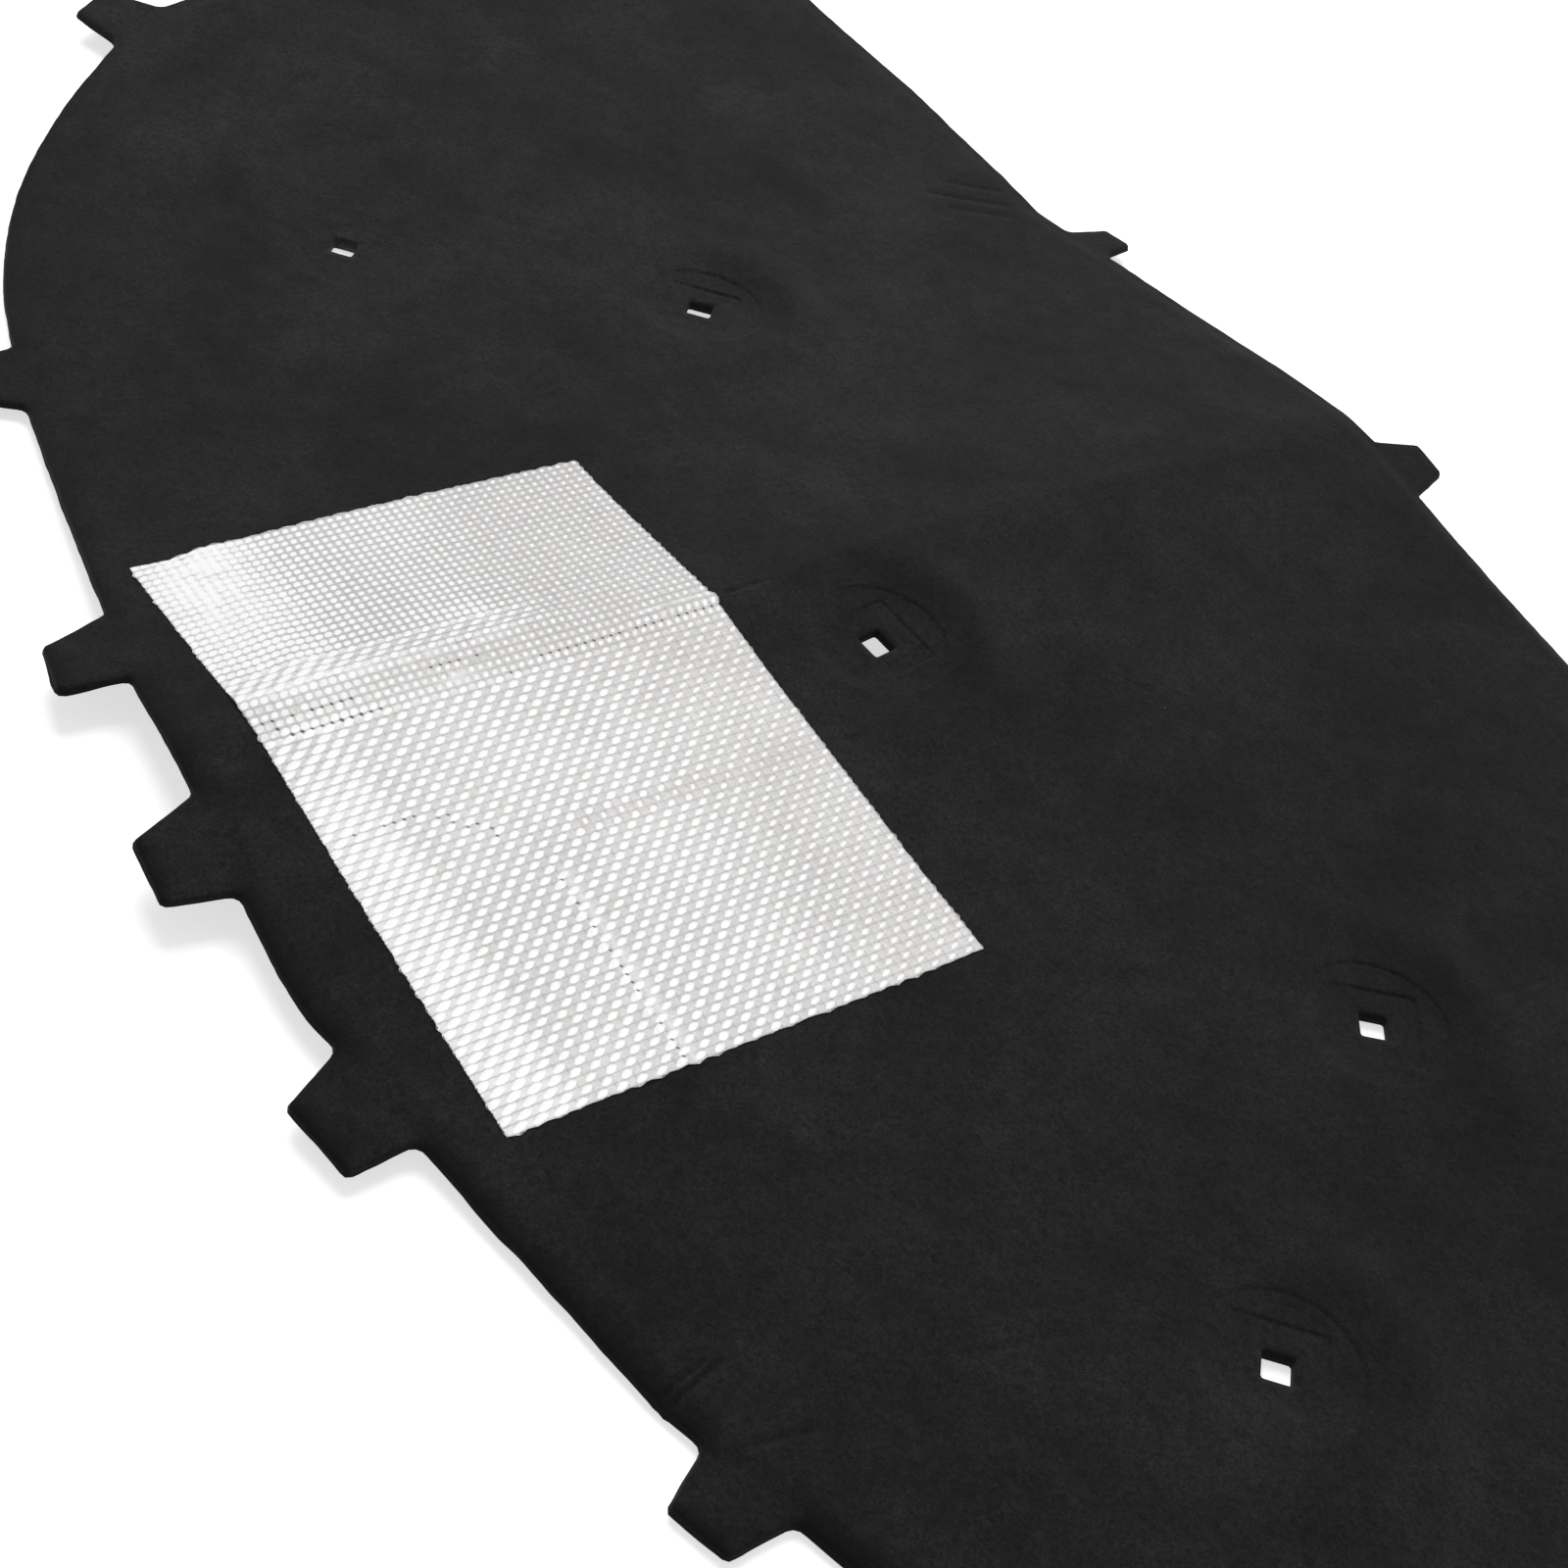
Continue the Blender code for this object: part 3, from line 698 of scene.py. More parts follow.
def hood_side(outline, inward, block):
    """Points, heights and triangles of the hood side.

    The rim steps up from the body, and a hole with little dish has a recess.
    """
    rings = [outline + inward * EDGE_ROUND] + hole_rings()
    block_in = inward_normals(block)
    for inset in (RIM_WIDTH - 0.0005, RIM_WIDTH + 0.001, RIM_WIDTH + RIM_SLOPE_WIDTH):
        rings.append(block + block_in * inset)
    grid = jittered_grid(outline.min(0), outline.max(0), UNDER_STEP, 22)
    grid = grid[distance_to(grid, outline[::3]) > EDGE_ROUND + 0.5 * UNDER_STEP]
    depth = distance_to(grid, block)
    clear = np.ones(len(grid), bool)
    for inset in (RIM_WIDTH, RIM_WIDTH + RIM_SLOPE_WIDTH):
        clear &= np.abs(depth - inset) > UNDER_RING_CLEARANCE
    for clip in CLIPS:
        clear &= from_clip(*grid.T, clip) > UNDER_HOLE_CLEARANCE
    points, faces = triangulate(rings, grid[clear])
    x, y = points.T
    inset = distance_to(points, block)
    rim_low = BODY_THICKNESS - RIM_THICKNESS - 0.8 * rim_drop(x, y, block)
    height = rim_low * (1 - np.clip((inset - RIM_WIDTH) / RIM_SLOPE_WIDTH, 0, 1))
    height = height + np.maximum(waves(x, y, PAD_SWELL), -0.3 * MM) * 0.5
    for clip in CLIPS:
        height = height + RECESS_DEPTH * (1 - clip.relief) * bump_at(from_clip(x, y, clip), RECESS_RADIUS)
    return points, height, without_holes(points, faces)


# Section of the rim wall from the engine side down: share of EDGE_ROUND inwards, drop in mm, and the
# painted shading where the edge faces the front, painted shade on the wall and a painted light line near
# the lower lip.
# The felt is cut a little proud at its lower lip.
RIM_PROFILE = [
    (0.62, 0.22, -0.70),
    (0.30, 0.75, -0.70),
    (0.16, 1.40, -0.70),
    (0.12, 2.20, -0.70),
    (0.04, 2.90, -0.70),
    (-0.08, 3.25, 1.60),
    (-0.04, 3.60, 1.60),
    (0.30, 3.85, -0.70),
]
LIP_START_DROP = 2.5
LIP_END_DROP = 4
# Painted shade along the edges that face the front: its half width and its depth
EDGE_SHADE_WIDTH = 0.0065
EDGE_PAINTED_SHADE = 0.62
FAR_HOLE_PAINTED_LIGHT = 6.0


def felt_faces():
    """Vertices, triangles and painted light and shade of the felt: engine side, hood side, rim wall and
    hole walls.
    """
    outline = spaced(tabbed_outline(), EDGE_STEP)
    inward = inward_normals(outline)
    outline = outline + inward * waves(*outline.T, OUTLINE_WAVES)[:, None]
    block = spaced(plain_outline(), EDGE_STEP * 2)
    top, top_faces = engine_side(outline, inward)
    under, under_z, under_faces = hood_side(outline, inward, block)
    verts = [np.column_stack([top, felt_top(*top.T, block)])]
    verts.append(np.column_stack([under, under_z]))
    faces = [top_faces, under_faces[:, ::-1] + len(top)]
    count = len(top) + len(under)

    # rim wall, from the engine side's edge round to the hood side's
    n = len(outline)
    lip = waves(*outline.T, LIP_WAVES)
    rim_top = felt_top(*outline.T, block)
    ring_ids = [np.arange(n)]
    for share, drop, _ in RIM_PROFILE:
        proud = lip * max(0.0, drop - LIP_START_DROP)
        ring = outline + inward * (share * EDGE_ROUND + proud)[:, None]
        verts.append(np.column_stack([ring, rim_top - drop * MM + lip * drop / LIP_END_DROP]))
        ring_ids.append(count + np.arange(n))
        count += n
    ring_ids.append(len(top) + np.arange(n))
    for a, b in zip(ring_ids, ring_ids[1:]):
        faces += strip(a, b)

    # hole walls, with painted light rising to the lower edge of the walls in the hole with little dish
    shade = felt_painted_light_and_shade(outline, inward, top, len(under))
    start = n
    for clip, ring in zip(CLIPS, hole_rings()):
        a = np.arange(start, start + len(ring))
        faces += strip(a + len(top), a)
        if clip.relief < 0.5:
            shade[a + len(top)] = FAR_HOLE_PAINTED_LIGHT
        start += len(ring)
    return np.vstack(verts), np.vstack(faces), np.outer(shade, (1, 0, 0))


def felt_painted_light_and_shade(outline, inward, top, under_count):
    """Factor on the felt's colour at each vertex, 1 where plain.

    It holds painted shade along the edges that face the front, on their rim walls and just past the
    dishes' rear rims, and painted light near the walls' lower lip and on the dishes' front slopes.
    """
    # painted shade where the edge faces the front, weaker towards the far side
    front = ramp(1.3 * inward[:, 1] - 0.2) * mix(0.45, 1.0, rise(outline[:, 0], -0.25, 0.0))
    shade = np.ones(len(top))
    close = np.flatnonzero(top[:, 1] < 0.0)
    for start in range(0, len(close), CHUNK):
        ids = close[start:start + CHUNK]
        gap = np.linalg.norm(top[ids][:, None] - outline, axis=2)
        nearest = gap.argmin(1)
        depth = front[nearest] * bump_at(gap[np.arange(len(ids)), nearest], EDGE_SHADE_WIDTH)
        shade[ids] = 1 - EDGE_PAINTED_SHADE * depth
    # painted shade just past each dish's rear rim, and painted light on its front slope
    for clip in CLIPS:
        dx, dy = (top - (clip.x, clip.y)).T
        radius = np.hypot(dx, dy)
        turned = (0.55 * dy + 0.40 * dx) / np.maximum(radius, MM)
        shade *= 1 - 0.25 * clip.relief * bump_at(radius - 0.043, 0.013) * ramp(0.35 + turned)
        shade *= 1 + 0.12 * clip.relief * bump_at(radius - 0.031, 0.006) * ramp(0.2 - 1.4 * turned)
    # rim walls: painted shade where they face the front, and a painted light line near the lower lip
    walls = [1 + wall_light_and_shade * front for _, _, wall_light_and_shade in RIM_PROFILE]
    return np.concatenate([shade, np.ones(under_count)] + walls)


def strip(a, b):
    """Triangles between two closed rings of vertex numbers."""
    a2 = np.roll(a, -1)
    b2 = np.roll(b, -1)
    return [np.stack([a, b, b2], 1), np.stack([a, b2, a2], 1)]


def without_holes(points, faces):
    """The triangles that lie outside every clip hole."""
    x, y = points[faces].mean(1).T
    keep = np.ones(len(faces), bool)
    for clip in CLIPS:
        keep &= square_distance(x, y, clip, HOLE_SIZE / 2, HOLE_CORNER_RADIUS) > 0
    return faces[keep]


def mesh_object(name, verts, faces, looks):
    """Smooth mesh object with vectors for its material kept as attributes."""
    mesh = bpy.data.meshes.new(name)
    mesh.from_pydata(verts.tolist(), [], faces.tolist())
    for attribute_name, values in looks.items():
        attribute = mesh.attributes.new(attribute_name, "FLOAT_VECTOR", "POINT")
        attribute.data.foreach_set("vector", values.astype(np.float32).ravel())
    mesh.update()
    mesh.shade_smooth()
    obj = bpy.data.objects.new(name, mesh)
    bpy.context.scene.collection.objects.link(obj)
    return obj


def yarn_phase(x, y):
    """Number of the warp and weft yarn at a place, and the place across each, from -0.5 to 0.5."""
    u = (x - PATCH_X + PATCH_LENGTH / 2) / WARP_PITCH
    v = (y - PATCH_Y + PATCH_WIDTH / 2) / WEFT_PITCH
    i = np.floor(u)
    j = np.floor(v)
    return i, j, u - i - 0.5, v - j - 0.5


def patch_weave(x, y):
    """Height of the foil over the middle of the cloth. The warp yarns lean a little where they float."""
    i, j, across, along = yarn_phase(x, y)
    sign = 1 - 2 * ((i + j) % 2)
    across_warp = across + YARN_LEAN * along * WEFT_PITCH / WARP_PITCH
    warp = WARP_WAVE * sign * np.cos(math.pi * along) - 1.0 * MM * across_warp ** 2
    weft = -WEFT_WAVE * sign * np.cos(math.pi * across) - 0.9 * MM * along ** 2
    soft = 0.05 * MM
    return np.logaddexp(warp / soft, weft / soft) * soft


def highlight_size(x, y):
    """Half width and half length in mm of the painted highlight spots, and their gain on warp and weft
    floats.
    """
    x_mm = x / MM
    y_mm = y / MM

    # near side of the fold, with longer spots to the front and long streaks at the front edge
    rear = rise(y_mm, -165, -80)
    front = rise(y_mm, -250, -264)
    width = mix(1.72, 1.00, rear) + 0.20 * front
    length = mix(2.95, 2.5, rear) + 1.2 * front
    gain = mix(1.0, 0.72, rear)
    streaks = 0.35 * front * rise(x_mm, -20, 0)

    # far side of the fold, with a column of long dashes and a cluster of large spots
    far_rear = rise(y_mm, -175, -125)
    far_front = rise(y_mm, -200, -260)
    column = flat_bump(x_mm + 65, 7.0) * rise(y_mm, -138, -148)
    cluster = bump_at(x_mm + 76, 8.0) * bump_at(y_mm + 170, 16.0)
    far_width = mix(1.60, 1.30, far_rear) + 0.2 * column + 0.4 * cluster + 0.4 * far_front
    far_length = mix(1.55, 1.25, far_rear) + 1.9 * column + 0.6 * cluster + 1.2 * far_front
    far_gain = mix(1.0, 0.97, far_rear) + 0.2 * column
    weft_gain = mix(1.0, 0.62, far_rear) * (1 - 0.85 * column)

    # both sides, and the fold between them
    near = rise(x_mm, -38, -30)
    fold = flat_bump(x_mm + 46, 10.0)
    width = mix(mix(far_width, width, near), 1.25 + 0.4 * far_front, fold)
    length = mix(mix(far_length, length, near), 1.30 + 0.7 * far_front, fold)
    gain = mix(mix(far_gain, gain, near), 0.95, fold)
    weft_gain = mix(mix(weft_gain, streaks, near), 0.80, fold)

    # unevenness, the near crease and the rope-like ridge
    uneven = value_noise(x, y, 0.0046, 61)
    gain = gain * np.clip(1 + (0.10 + 0.42 * fold) * uneven, 0, 1.3)
    weft_gain = weft_gain * np.clip(1 - (0.12 + 0.42 * fold) * uneven, 0, 1.3)
    width = width * np.clip(1 + 0.10 * value_noise(x, y, 0.0061, 62), 0.6, 1.4)
    rope = bump_at(y - ROPE_Y, 0.0022) * rise(x_mm, 62, 68)
    width = width + 0.6 * rope
    length = mix(length, 1.0, bump_at(distance_to_line(x, y, NEAR_CREASE), 0.0045)) + 1.2 * rope
    return width, length, np.clip(gain, 0, 1), np.clip(weft_gain, 0, 1)


def foil_sheen(x, y):
    """Painted sheen: broad painted highlights where the foil bulges at its far front corner and beside
    the fold.
    """
    x_mm = x / MM
    y_mm = y / MM
    corner = 1.35 * bump_at(y_mm + 260 + 0.16 * (x_mm + 160), 21.0) * rise(x_mm, -66, -151)
    stripes = 0.74 + 0.26 * np.cos(2 * math.pi * (y_mm + 0.04 * x_mm) / (WEFT_PITCH / MM))
    uneven = np.clip(0.95 + 0.30 * value_noise(x, y, 0.0050, 64), 0, 1.2)
    crumple = 0.45 * bump_at(x_mm + 41, 4.5) * bump_at(y_mm + 197, 9.0)
    lines = 0.35 * bump_at(x_mm + 56, 3.0) * rise(y_mm, -150, -180)
    ragged = np.clip(0.75 + 0.6 * value_noise(x, y, 0.0030, 63), 0, 1.2)
    strip_edge = 0.6 * bump_at(x_mm + 46.5, 1.0) * rise(y_mm, -108, -98)
    rope_band = 0.32 * bump_at(y - ROPE_Y - 4.5 * MM, 0.0020) * rise(x_mm, 62, 68)
    sheen = np.clip(corner * stripes * uneven, 0, 1)
    return np.clip(sheen + (crumple + lines) * ragged + strip_edge + rope_band, 0, 1)


def pinholes(x, y):
    """Up to 1 at each pinhole."""
    pin = np.zeros(x.shape)
    rng = np.random.default_rng(81)
    for row, shown, typical in PINHOLE_ROWS:
        for (ax, ay), (bx, by) in zip(row, row[1:]):
            steps = max(1, int(round(math.hypot(bx - ax, by - ay) / WEFT_PITCH)))
            for k in range(steps + 1):
                i, j, across, along = yarn_phase(ax + (bx - ax) * k / steps, ay + (by - ay) * k / steps)
                px = PATCH_X - PATCH_LENGTH / 2 + (i + (across > 0)) * WARP_PITCH
                py = PATCH_Y - PATCH_WIDTH / 2 + (j + (along > 0)) * WEFT_PITCH
                size = rng.uniform(0.8, 1.2) * typical
                if rng.random() < shown:
                    pin = np.maximum(pin, bump_at(np.hypot(x - px, y - py), size))
    return pin


def patch_edges(x, y, u, v):
    """Moves the cut edges: serrated yarn ends, a fold that sticks out and a far edge that bows."""
    serration = 0.50 * MM + 0.40 * MM * value_noise(x, y, 0.0031, 71)
    by_row = np.abs(np.sin(math.pi * (v + 0.5) * WEFT_YARNS / 2))
    by_column = np.abs(np.sin(math.pi * (u + 0.5) * WARP_YARNS))
    side = np.sign(u) * (np.abs(u) == 0.5)
    end = np.sign(v) * (np.abs(v) == 0.5)
    x = x + side * (1.4 * serration * by_row - 0.4 * MM)
    y = y + end * (serration * by_column - 0.3 * MM)
    bow = 1.6 * MM * (1 - (2 * v) ** 2) * rise(u, -0.30, -0.50)
    corner = 1.8 * MM * bump_at(v + 0.41, 0.06) * rise(u, -0.46, -0.50)
    tongue = 1.3 * MM * flat_bump(x - STRIP_X, 0.0030) * rise(v, 0.44, 0.50)
    return x - bow + corner, y + tongue


def patch_faces():
    """Vertices, triangles and looks of the patch: a woven top, a plain back and serrated cut edges."""
    across = WARP_YARNS * WARP_CELLS
    along = WEFT_YARNS * WEFT_CELLS
    u, v = np.meshgrid(np.linspace(-0.5, 0.5, across + 1), np.linspace(-0.5, 0.5, along + 1))
    x = PATCH_X + u * PATCH_LENGTH
    y = PATCH_Y + v * PATCH_WIDTH
    width, length, gain, weft_gain = highlight_size(x, y)
    sheen = foil_sheen(x, y)
    pin = pinholes(x, y)
    edge_x = np.minimum(u + 0.5, 0.5 - u) * PATCH_LENGTH
    edge_y = np.minimum(v + 0.5, 0.5 - v) * PATCH_WIDTH
    base = BODY_THICKNESS + waves(x, y, PAD_SWELL) + np.maximum(creased(x, y, FOIL_CREASES), -0.4 * MM)
    z = base + BOND_GAP + CLOTH_RISE + patch_weave(x, y)
    z = z - 0.25 * MM * bump_at(np.minimum(edge_x, edge_y), 1.2 * MM) - 0.25 * MM * pin
    x, y = patch_edges(x, y, u, v)
    top = np.stack([x.ravel(), y.ravel(), z.ravel()], 1)
    ids = np.arange(len(top)).reshape(x.shape)
    faces = [np.stack([ids[:-1, :-1], ids[:-1, 1:], ids[1:, 1:]], -1).reshape(-1, 3)]
    faces.append(np.stack([ids[:-1, :-1], ids[1:, 1:], ids[1:, :-1]], -1).reshape(-1, 3))

    # back: one cell for each yarn crossing, just over the felt
    bx = x[::WEFT_CELLS, ::WARP_CELLS]
    by = y[::WEFT_CELLS, ::WARP_CELLS]
    bz = BODY_THICKNESS + waves(bx, by, PAD_SWELL) + BOND_GAP
    back = np.stack([bx.ravel(), by.ravel(), bz.ravel()], 1)
    bids = np.arange(len(back)).reshape(bx.shape) + len(top)
    faces.append(np.stack([bids[:-1, :-1], bids[1:, 1:], bids[:-1, 1:]], -1).reshape(-1, 3))
    faces.append(np.stack([bids[:-1, :-1], bids[1:, :-1], bids[1:, 1:]], -1).reshape(-1, 3))
    sides = [
        (ids[0, :], bids[0, :], WARP_CELLS),
        (ids[:, -1], bids[:, -1], WEFT_CELLS),
        (ids[-1, ::-1], bids[-1, ::-1], WARP_CELLS),
        (ids[::-1, 0], bids[::-1, 0], WEFT_CELLS),
    ]
    for fine, coarse, ratio in sides:
        faces.append(side_faces(fine, coarse, ratio))
    # painted highlight sizes and gains, painted sheen and pinholes, kept for the material
    looks = {"highlight_size": np.stack([width.ravel(), length.ravel(), gain.ravel()], 1)}
    looks["sheen_and_pin"] = np.stack([sheen.ravel(), pin.ravel(), weft_gain.ravel()], 1)
    for name, values in looks.items():
        looks[name] = np.vstack([values, np.zeros((len(back), 3))])
    return np.vstack([top, back]), np.vstack(faces), looks


def side_faces(fine, coarse, ratio):
    """Triangles between a fine row of vertices and a coarse one, a fan to each coarse vertex."""
    rows = []
    half = ratio // 2
    for k in range(len(coarse) - 1):
        a, b = coarse[k], coarse[k + 1]
        run = fine[k * ratio:(k + 1) * ratio + 1]
        rows += [(run[m], a, run[m + 1]) for m in range(half)]
        rows.append((run[half], a, b))
        rows += [(run[m], b, run[m + 1]) for m in range(half, ratio)]
    return np.array(rows)


class Nodes:
    """Short way to add and link the nodes of a material or world round its shader."""

    def __init__(self, owner, shader="Principled BSDF"):
        owner.use_nodes = True
        self.owner = owner
        self.tree = owner.node_tree
        self.shader = self.tree.nodes[shader]

    def feed(self, socket, value):
        """Links a socket, or gives it a number or a colour."""
        if isinstance(value, tuple):
            socket.default_value = (*value, 1.0)
        elif isinstance(value, (int, float)):
            socket.default_value = value
        else:
            self.tree.links.new(value, socket)

    def finish(self, **looks):
        """Feeds the shader's sockets, whose names are given with underscores."""
        for name, value in looks.items():
            self.feed(self.shader.inputs[name.replace("_", " ")], value)
        return self.owner

    def add(self, kind, values, **settings):
        """Outputs of a new node, whose sockets are fed by name or number."""
        made = self.tree.nodes.new(kind)
        for name, value in settings.items():
            setattr(made, name, value)
        for name, value in values.items():
            self.feed(made.inputs[name], value)
        return made.outputs

    def math(self, operation, a, b=0.0, c=0.0):
        return self.add("ShaderNodeMath", {0: a, 1: b, 2: c}, operation=operation)[0]

    def place(self):
        return self.add("ShaderNodeTexCoord", {})["Object"]

    def attribute(self, name):
        vector = self.add("ShaderNodeAttribute", {}, attribute_name=name)["Vector"]
        return self.add("ShaderNodeSeparateXYZ", {0: vector})

    def noise(self, scale, detail, distortion=0.0):
        values = {"Vector": self.place(), "Scale": scale, "Detail": detail, "Distortion": distortion}
        return self.add("ShaderNodeTexNoise", values)["Fac"]

    def ranged(self, value, from_low, from_high, to_low, to_high, shape="LINEAR"):
        values = {"Value": value, "From Min": from_low, "From Max": from_high}
        values.update({"To Min": to_low, "To Max": to_high})
        return self.add("ShaderNodeMapRange", values, interpolation_type=shape)["Result"]

    def blend(self, share, a, b):
        return self.add("ShaderNodeMix", {0: share, 6: a, 7: b}, data_type="RGBA")[2]

    def scaled(self, color, factor):
        return self.add("ShaderNodeVectorMath", {0: color, "Scale": factor}, operation="SCALE")["Vector"]

    def specks(self, scale, rare, radius):
        """1 on rare small specks, one at most in each cell."""
        cells = self.add("ShaderNodeTexVoronoi", {"Vector": self.place(), "Scale": scale})
        color = self.add("ShaderNodeSeparateColor", {0: cells["Color"]})
        chosen = self.math("GREATER_THAN", color[0], rare)
        small = self.math("LESS_THAN", cells["Distance"], radius * scale)
        return self.math("MULTIPLY", chosen, small)

    def bump(self, height, strength, distance):
        values = {"Height": height, "Strength": strength, "Distance": distance}
        return self.add("ShaderNodeBump", values)["Normal"]

    def camera_like_rays(self):
        """1 for rays that show the backdrop: camera, glossy and transmission rays."""
        path = self.add("ShaderNodeLightPath", {})
        rays = self.math("MAXIMUM", path["Is Camera Ray"], path["Is Glossy Ray"])
        return self.math("MAXIMUM", rays, path["Is Transmission Ray"])


def felt_material():
    """Black felt: pressed fibres, mottled and grainy, with a few specks of lint, and the painted light
    and shade of its shade attribute.
    """
    nodes = Nodes(bpy.data.materials.new("moulded_black_felt"))
    broad = nodes.noise(7.0, 4.0, 0.4)
    mottle = nodes.noise(20.0, 3.0, 0.6)
    patchy = nodes.noise(70.0, 3.0, 0.8)
    grain = nodes.noise(430.0, 3.0, 1.2)
    fibre = nodes.noise(1500.0, 2.0, 2.0)
    tone = nodes.blend(nodes.ranged(broad, 0.35, 0.65, 0.0, 1.0), FELT_DARK, FELT_LIGHT)
    # the shade attribute brings the painted shade and painted light of the edges, rim walls, dishes and
    # far outer hole
    shade = nodes.attribute("shade")[0]
    shade = nodes.math("MULTIPLY", shade, nodes.ranged(mottle, 0.32, 0.68, 0.82, 1.17))
    for noise, darkest, palest in ((patchy, 0.86, 1.14), (grain, 0.50, 1.56), (fibre, 0.58, 1.48)):
        shade = nodes.math("MULTIPLY", shade, nodes.ranged(noise, 0.3, 0.7, darkest, palest))
    lint = nodes.math("MULTIPLY", nodes.specks(34.0, 0.955, 0.00050), 0.75)
    height = nodes.math("ADD", nodes.math("MULTIPLY", grain, 0.7), nodes.math("MULTIPLY", fibre, 0.3))
    return nodes.finish(
        Base_Color=nodes.blend(lint, nodes.scaled(tone, shade), LINT),
        Roughness=nodes.ranged(grain, 0.3, 0.7, 0.86, 0.99),
        Specular_IOR_Level=0.15,
        Sheen_Weight=0.035,
        Sheen_Roughness=0.5,
        Normal=nodes.bump(height, 0.55, 0.0007),
    )


def foil_material():
    """Foil over plain weave: a painted highlight spot on each warp and weft float and a painted sheen, on
    a greyer ground with painted shade in the gaps between yarns.
    """
    nodes = Nodes(bpy.data.materials.new("woven_aluminium_foil"))
    x, y, _ = nodes.attribute("flat")
    width, length, gain = nodes.attribute("highlight_size")
    sheen, pin, weft_gain = nodes.attribute("sheen_and_pin")
    u = nodes.math("MULTIPLY_ADD", x, 1 / WARP_PITCH, (PATCH_LENGTH / 2 - PATCH_X) / WARP_PITCH)
    v = nodes.math("MULTIPLY_ADD", y, 1 / WEFT_PITCH, (PATCH_WIDTH / 2 - PATCH_Y) / WEFT_PITCH)
    column = nodes.math("FLOOR", u)
    across = nodes.math("SUBTRACT", nodes.math("SUBTRACT", u, column), 0.5)
    across_mm = nodes.math("MULTIPLY", across, WARP_PITCH / MM)

    def spots(half_turn_shift):
        """Painted highlight spots on every other crossing, so on the warp floats or on the weft floats.
        """
        half_turn = nodes.math("MULTIPLY_ADD", nodes.math("ADD", v, column), 0.5, half_turn_shift)
        along = nodes.math("SUBTRACT", nodes.math("FRACT", half_turn), 0.5)
        along_mm = nodes.math("MULTIPLY", along, 2 * WEFT_PITCH / MM)
        leaning = nodes.math("MULTIPLY_ADD", along_mm, YARN_LEAN, across_mm)
        a = nodes.math("ABSOLUTE", nodes.math("DIVIDE", leaning, nodes.math("MAXIMUM", width, 0.1)))
        b = nodes.math("ABSOLUTE", nodes.math("DIVIDE", along_mm, nodes.math("MAXIMUM", length, 0.1)))
        total = nodes.math("ADD", nodes.math("POWER", a, SPOT_POWER), nodes.math("POWER", b, SPOT_POWER))
        reach = nodes.math("POWER", total, 1 / SPOT_POWER)
        return nodes.ranged(reach, 0.66, 1.10, 1.0, 0.0, "SMOOTHSTEP")

    # painted highlights on the warp and weft floats, and the painted sheen
    warp_highlight = nodes.math("MULTIPLY", spots(0.25), gain)
    weft_highlight = nodes.math("MULTIPLY", spots(0.75), weft_gain)
    painted_highlight = nodes.math("MAXIMUM", nodes.math("MAXIMUM", warp_highlight, weft_highlight), sheen)
    broad = nodes.noise(16.0, 3.0)
    crumple = nodes.noise(380.0, 3.0, 1.5)
    ground = nodes.blend(nodes.ranged(broad, 0.35, 0.65, 0.0, 1.0), FOIL_DARK, FOIL_LIGHT)
    ground = nodes.scaled(ground, nodes.ranged(crumple, 0.3, 0.7, 0.88, 1.09))
    # painted shade in the gaps between the yarns
    along_weft = nodes.math("SUBTRACT", nodes.math("FRACT", v), 0.5)
    warp_gap_shade = nodes.ranged(nodes.math("ABSOLUTE", across), 0.34, 0.50, 1.0, 0.80, "SMOOTHSTEP")
    weft_gap_shade = nodes.ranged(nodes.math("ABSOLUTE", along_weft), 0.34, 0.50, 1.0, 0.86, "SMOOTHSTEP")
    ground = nodes.scaled(ground, nodes.math("MULTIPLY", warp_gap_shade, weft_gap_shade))
    # painted shade: the ground a little darker on the far side of the fold
    ground = nodes.scaled(ground, nodes.ranged(x, -0.080, -0.040, 0.96, 1.0))
    color = nodes.blend(painted_highlight, ground, FOIL_PAINTED_HIGHLIGHT)
    color = nodes.blend(nodes.ranged(pin, 0.18, 0.62, 0.0, 0.92, "SMOOTHSTEP"), color, PINHOLE)
    rough = nodes.ranged(painted_highlight, 0.0, 1.0, 0.42, 0.26)
    normal = nodes.bump(crumple, 0.22, 0.0004)
    return nodes.finish(Base_Color=color, Roughness=rough, Metallic=0.8, Normal=normal)


def make_world():
    nodes = Nodes(bpy.data.worlds.new("studio"), "Background")
    strength = nodes.ranged(nodes.camera_like_rays(), 0.0, 1.0, WORLD_STRENGTH, 1.0)
    bpy.context.scene.world = nodes.finish(Color=(1.0, 1.0, 1.0), Strength=strength)


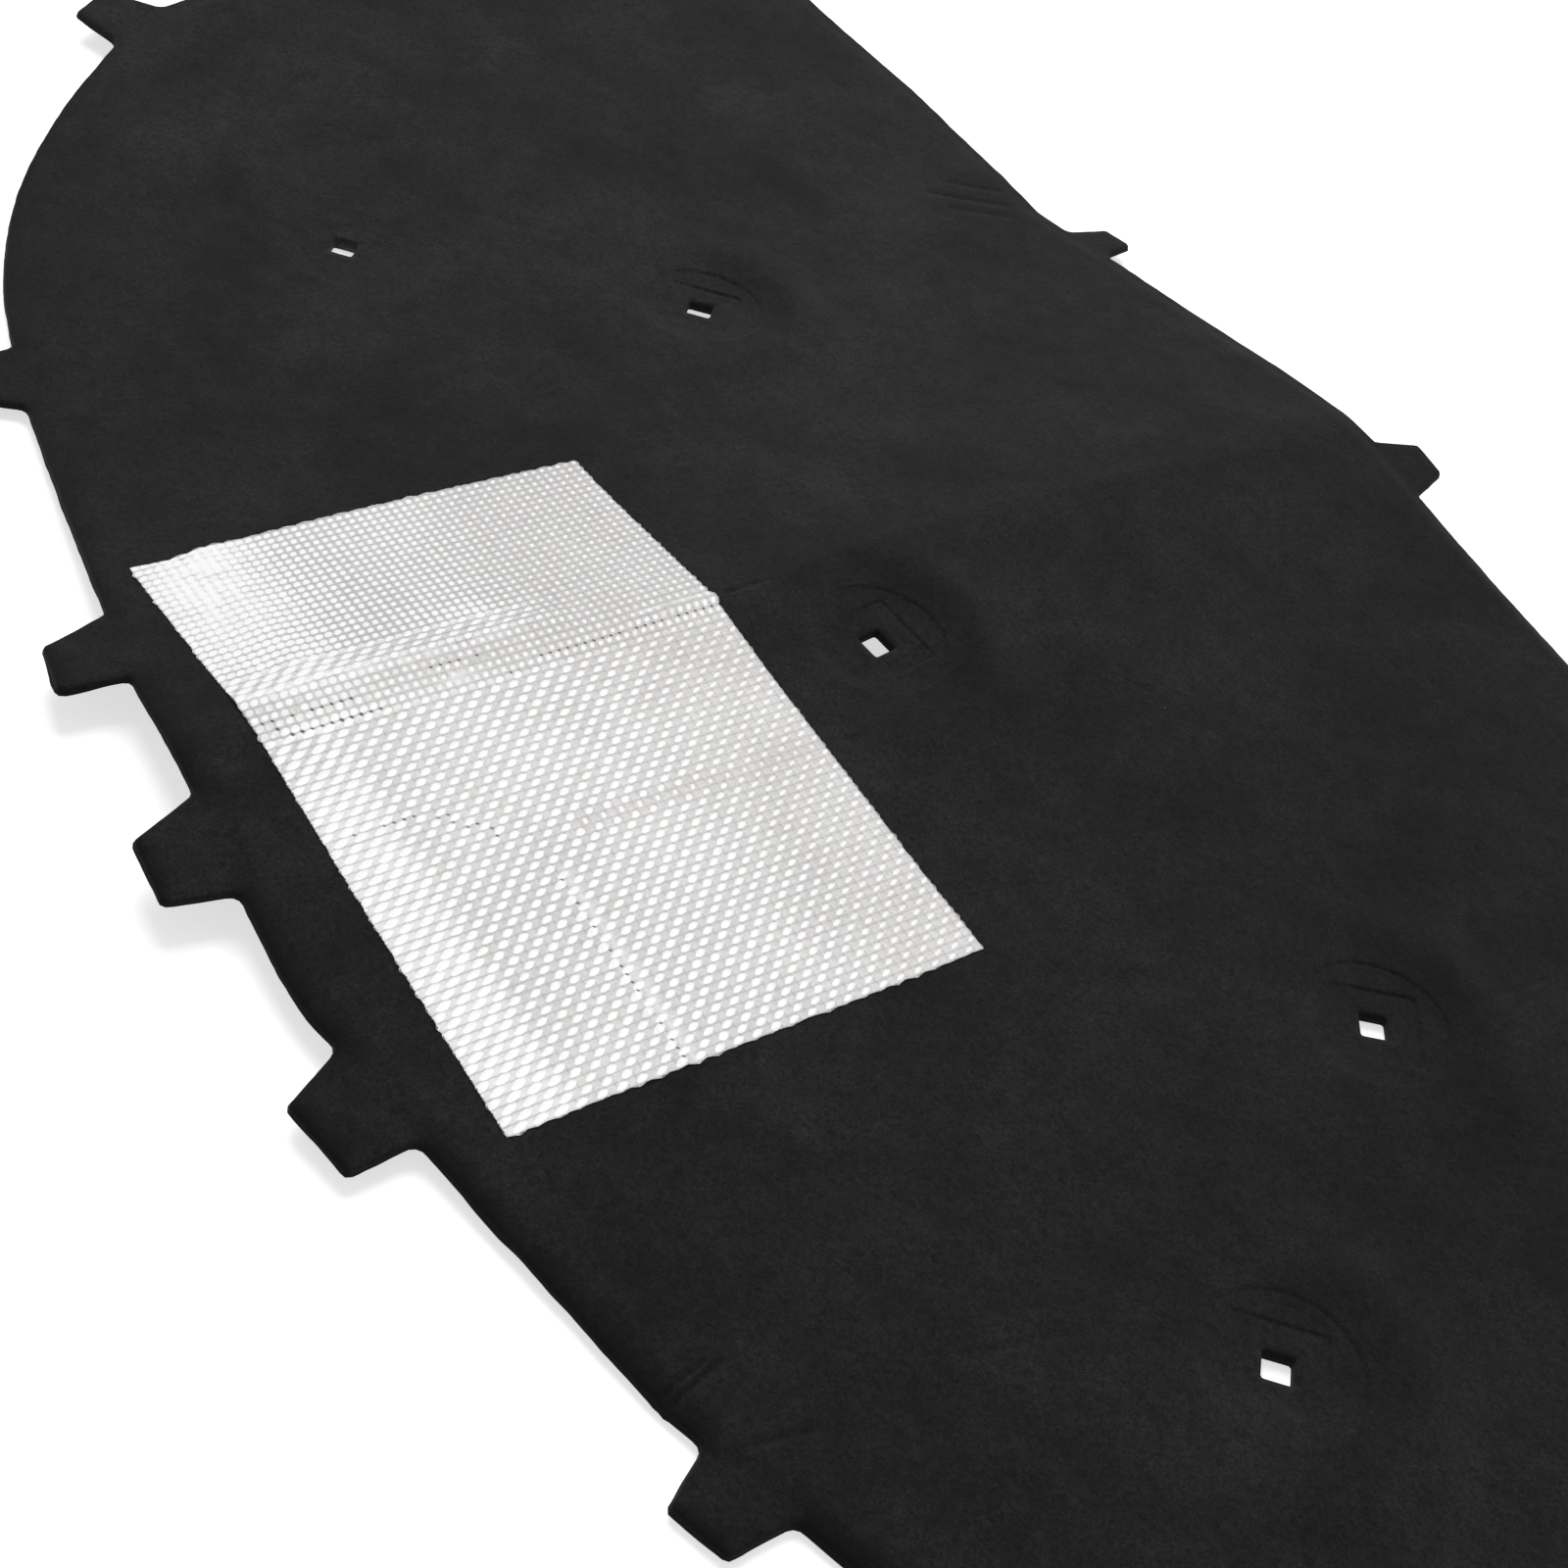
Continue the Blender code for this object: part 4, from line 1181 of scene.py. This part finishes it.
def make_floor():
    """Pale floor that takes the shadow. Its glow shows only to the camera and in gloss."""
    mesh = bpy.data.meshes.new("floor")
    half = FLOOR_HALF_SIZE
    corners = [(-half, -half, 0), (half, -half, 0), (half, half, 0), (-half, half, 0)]
    mesh.from_pydata(corners, [], [(0, 1, 2, 3)])
    floor = bpy.data.objects.new("floor", mesh)
    bpy.context.scene.collection.objects.link(floor)
    floor.location.z = -FLOOR_DROP
    nodes = Nodes(bpy.data.materials.new("pale_floor"))
    distance = nodes.add("ShaderNodeVectorMath", {0: nodes.place()}, operation="LENGTH")["Value"]
    (near, near_glow), (far, far_glow) = FLOOR_GLOW
    glow = nodes.ranged(distance, near, far, near_glow, far_glow)
    material = nodes.finish(
        Base_Color=FLOOR_COLOR,
        Roughness=0.9,
        Specular_IOR_Level=0.0,
        Emission_Color=(1.0, 1.0, 1.0),
        Emission_Strength=nodes.math("MULTIPLY", nodes.camera_like_rays(), glow),
    )
    mesh.materials.append(material)


def area_lamp(name, place, target, sides, power):
    data = bpy.data.lights.new(name, "AREA")
    data.shape = "RECTANGLE"
    data.size, data.size_y = sides
    data.energy = power
    lamp = bpy.data.objects.new(name, data)
    bpy.context.scene.collection.objects.link(lamp)
    lamp.location = place
    lamp.rotation_mode = "QUATERNION"
    lamp.rotation_quaternion = (Vector(target) - Vector(place)).to_track_quat("-Z", "Y")
    return lamp


def make_camera():
    data = bpy.data.cameras.new("camera")
    data.sensor_width = CAMERA_SENSOR
    data.sensor_fit = "AUTO"
    data.lens = CAMERA_LENS
    data.clip_end = 100
    camera = bpy.data.objects.new("camera", data)
    bpy.context.scene.collection.objects.link(camera)
    forward = CAMERA_FORWARD.normalized()
    down = CAMERA_DOWN.normalized()
    right = down.cross(forward)
    turn = Matrix((right, -down, -forward)).transposed()
    camera.matrix_world = Matrix.Translation(CAMERA_PLACE) @ turn.to_4x4()
    bpy.context.scene.camera = camera


def main():
    make_camera()
    bend = Bend()
    flat, faces, shade = felt_faces()
    low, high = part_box("insulation_pad")
    bend.fit(flat, low, high)
    felt = mesh_object("felt_pad", bend.place(flat), faces, {"shade": shade})
    felt.data.materials.append(felt_material())
    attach(felt, "root")
    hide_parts("insulation_pad")

    flat, faces, looks = patch_faces()
    looks["flat"] = flat
    foil = mesh_object("foil_patch", bend.place(flat), faces, looks)
    foil.data.materials.append(foil_material())
    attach(foil, "root")
    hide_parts("heat_shield_patch")

    make_world()
    make_floor()
    softbox = area_lamp("far_softbox", *FAR_SOFTBOX)
    softbox.visible_glossy = False
    area_lamp("overhead_strip", *OVERHEAD_STRIP)
    bpy.context.scene.view_settings.view_transform = "Standard"
    bpy.context.view_layer.update()


main()
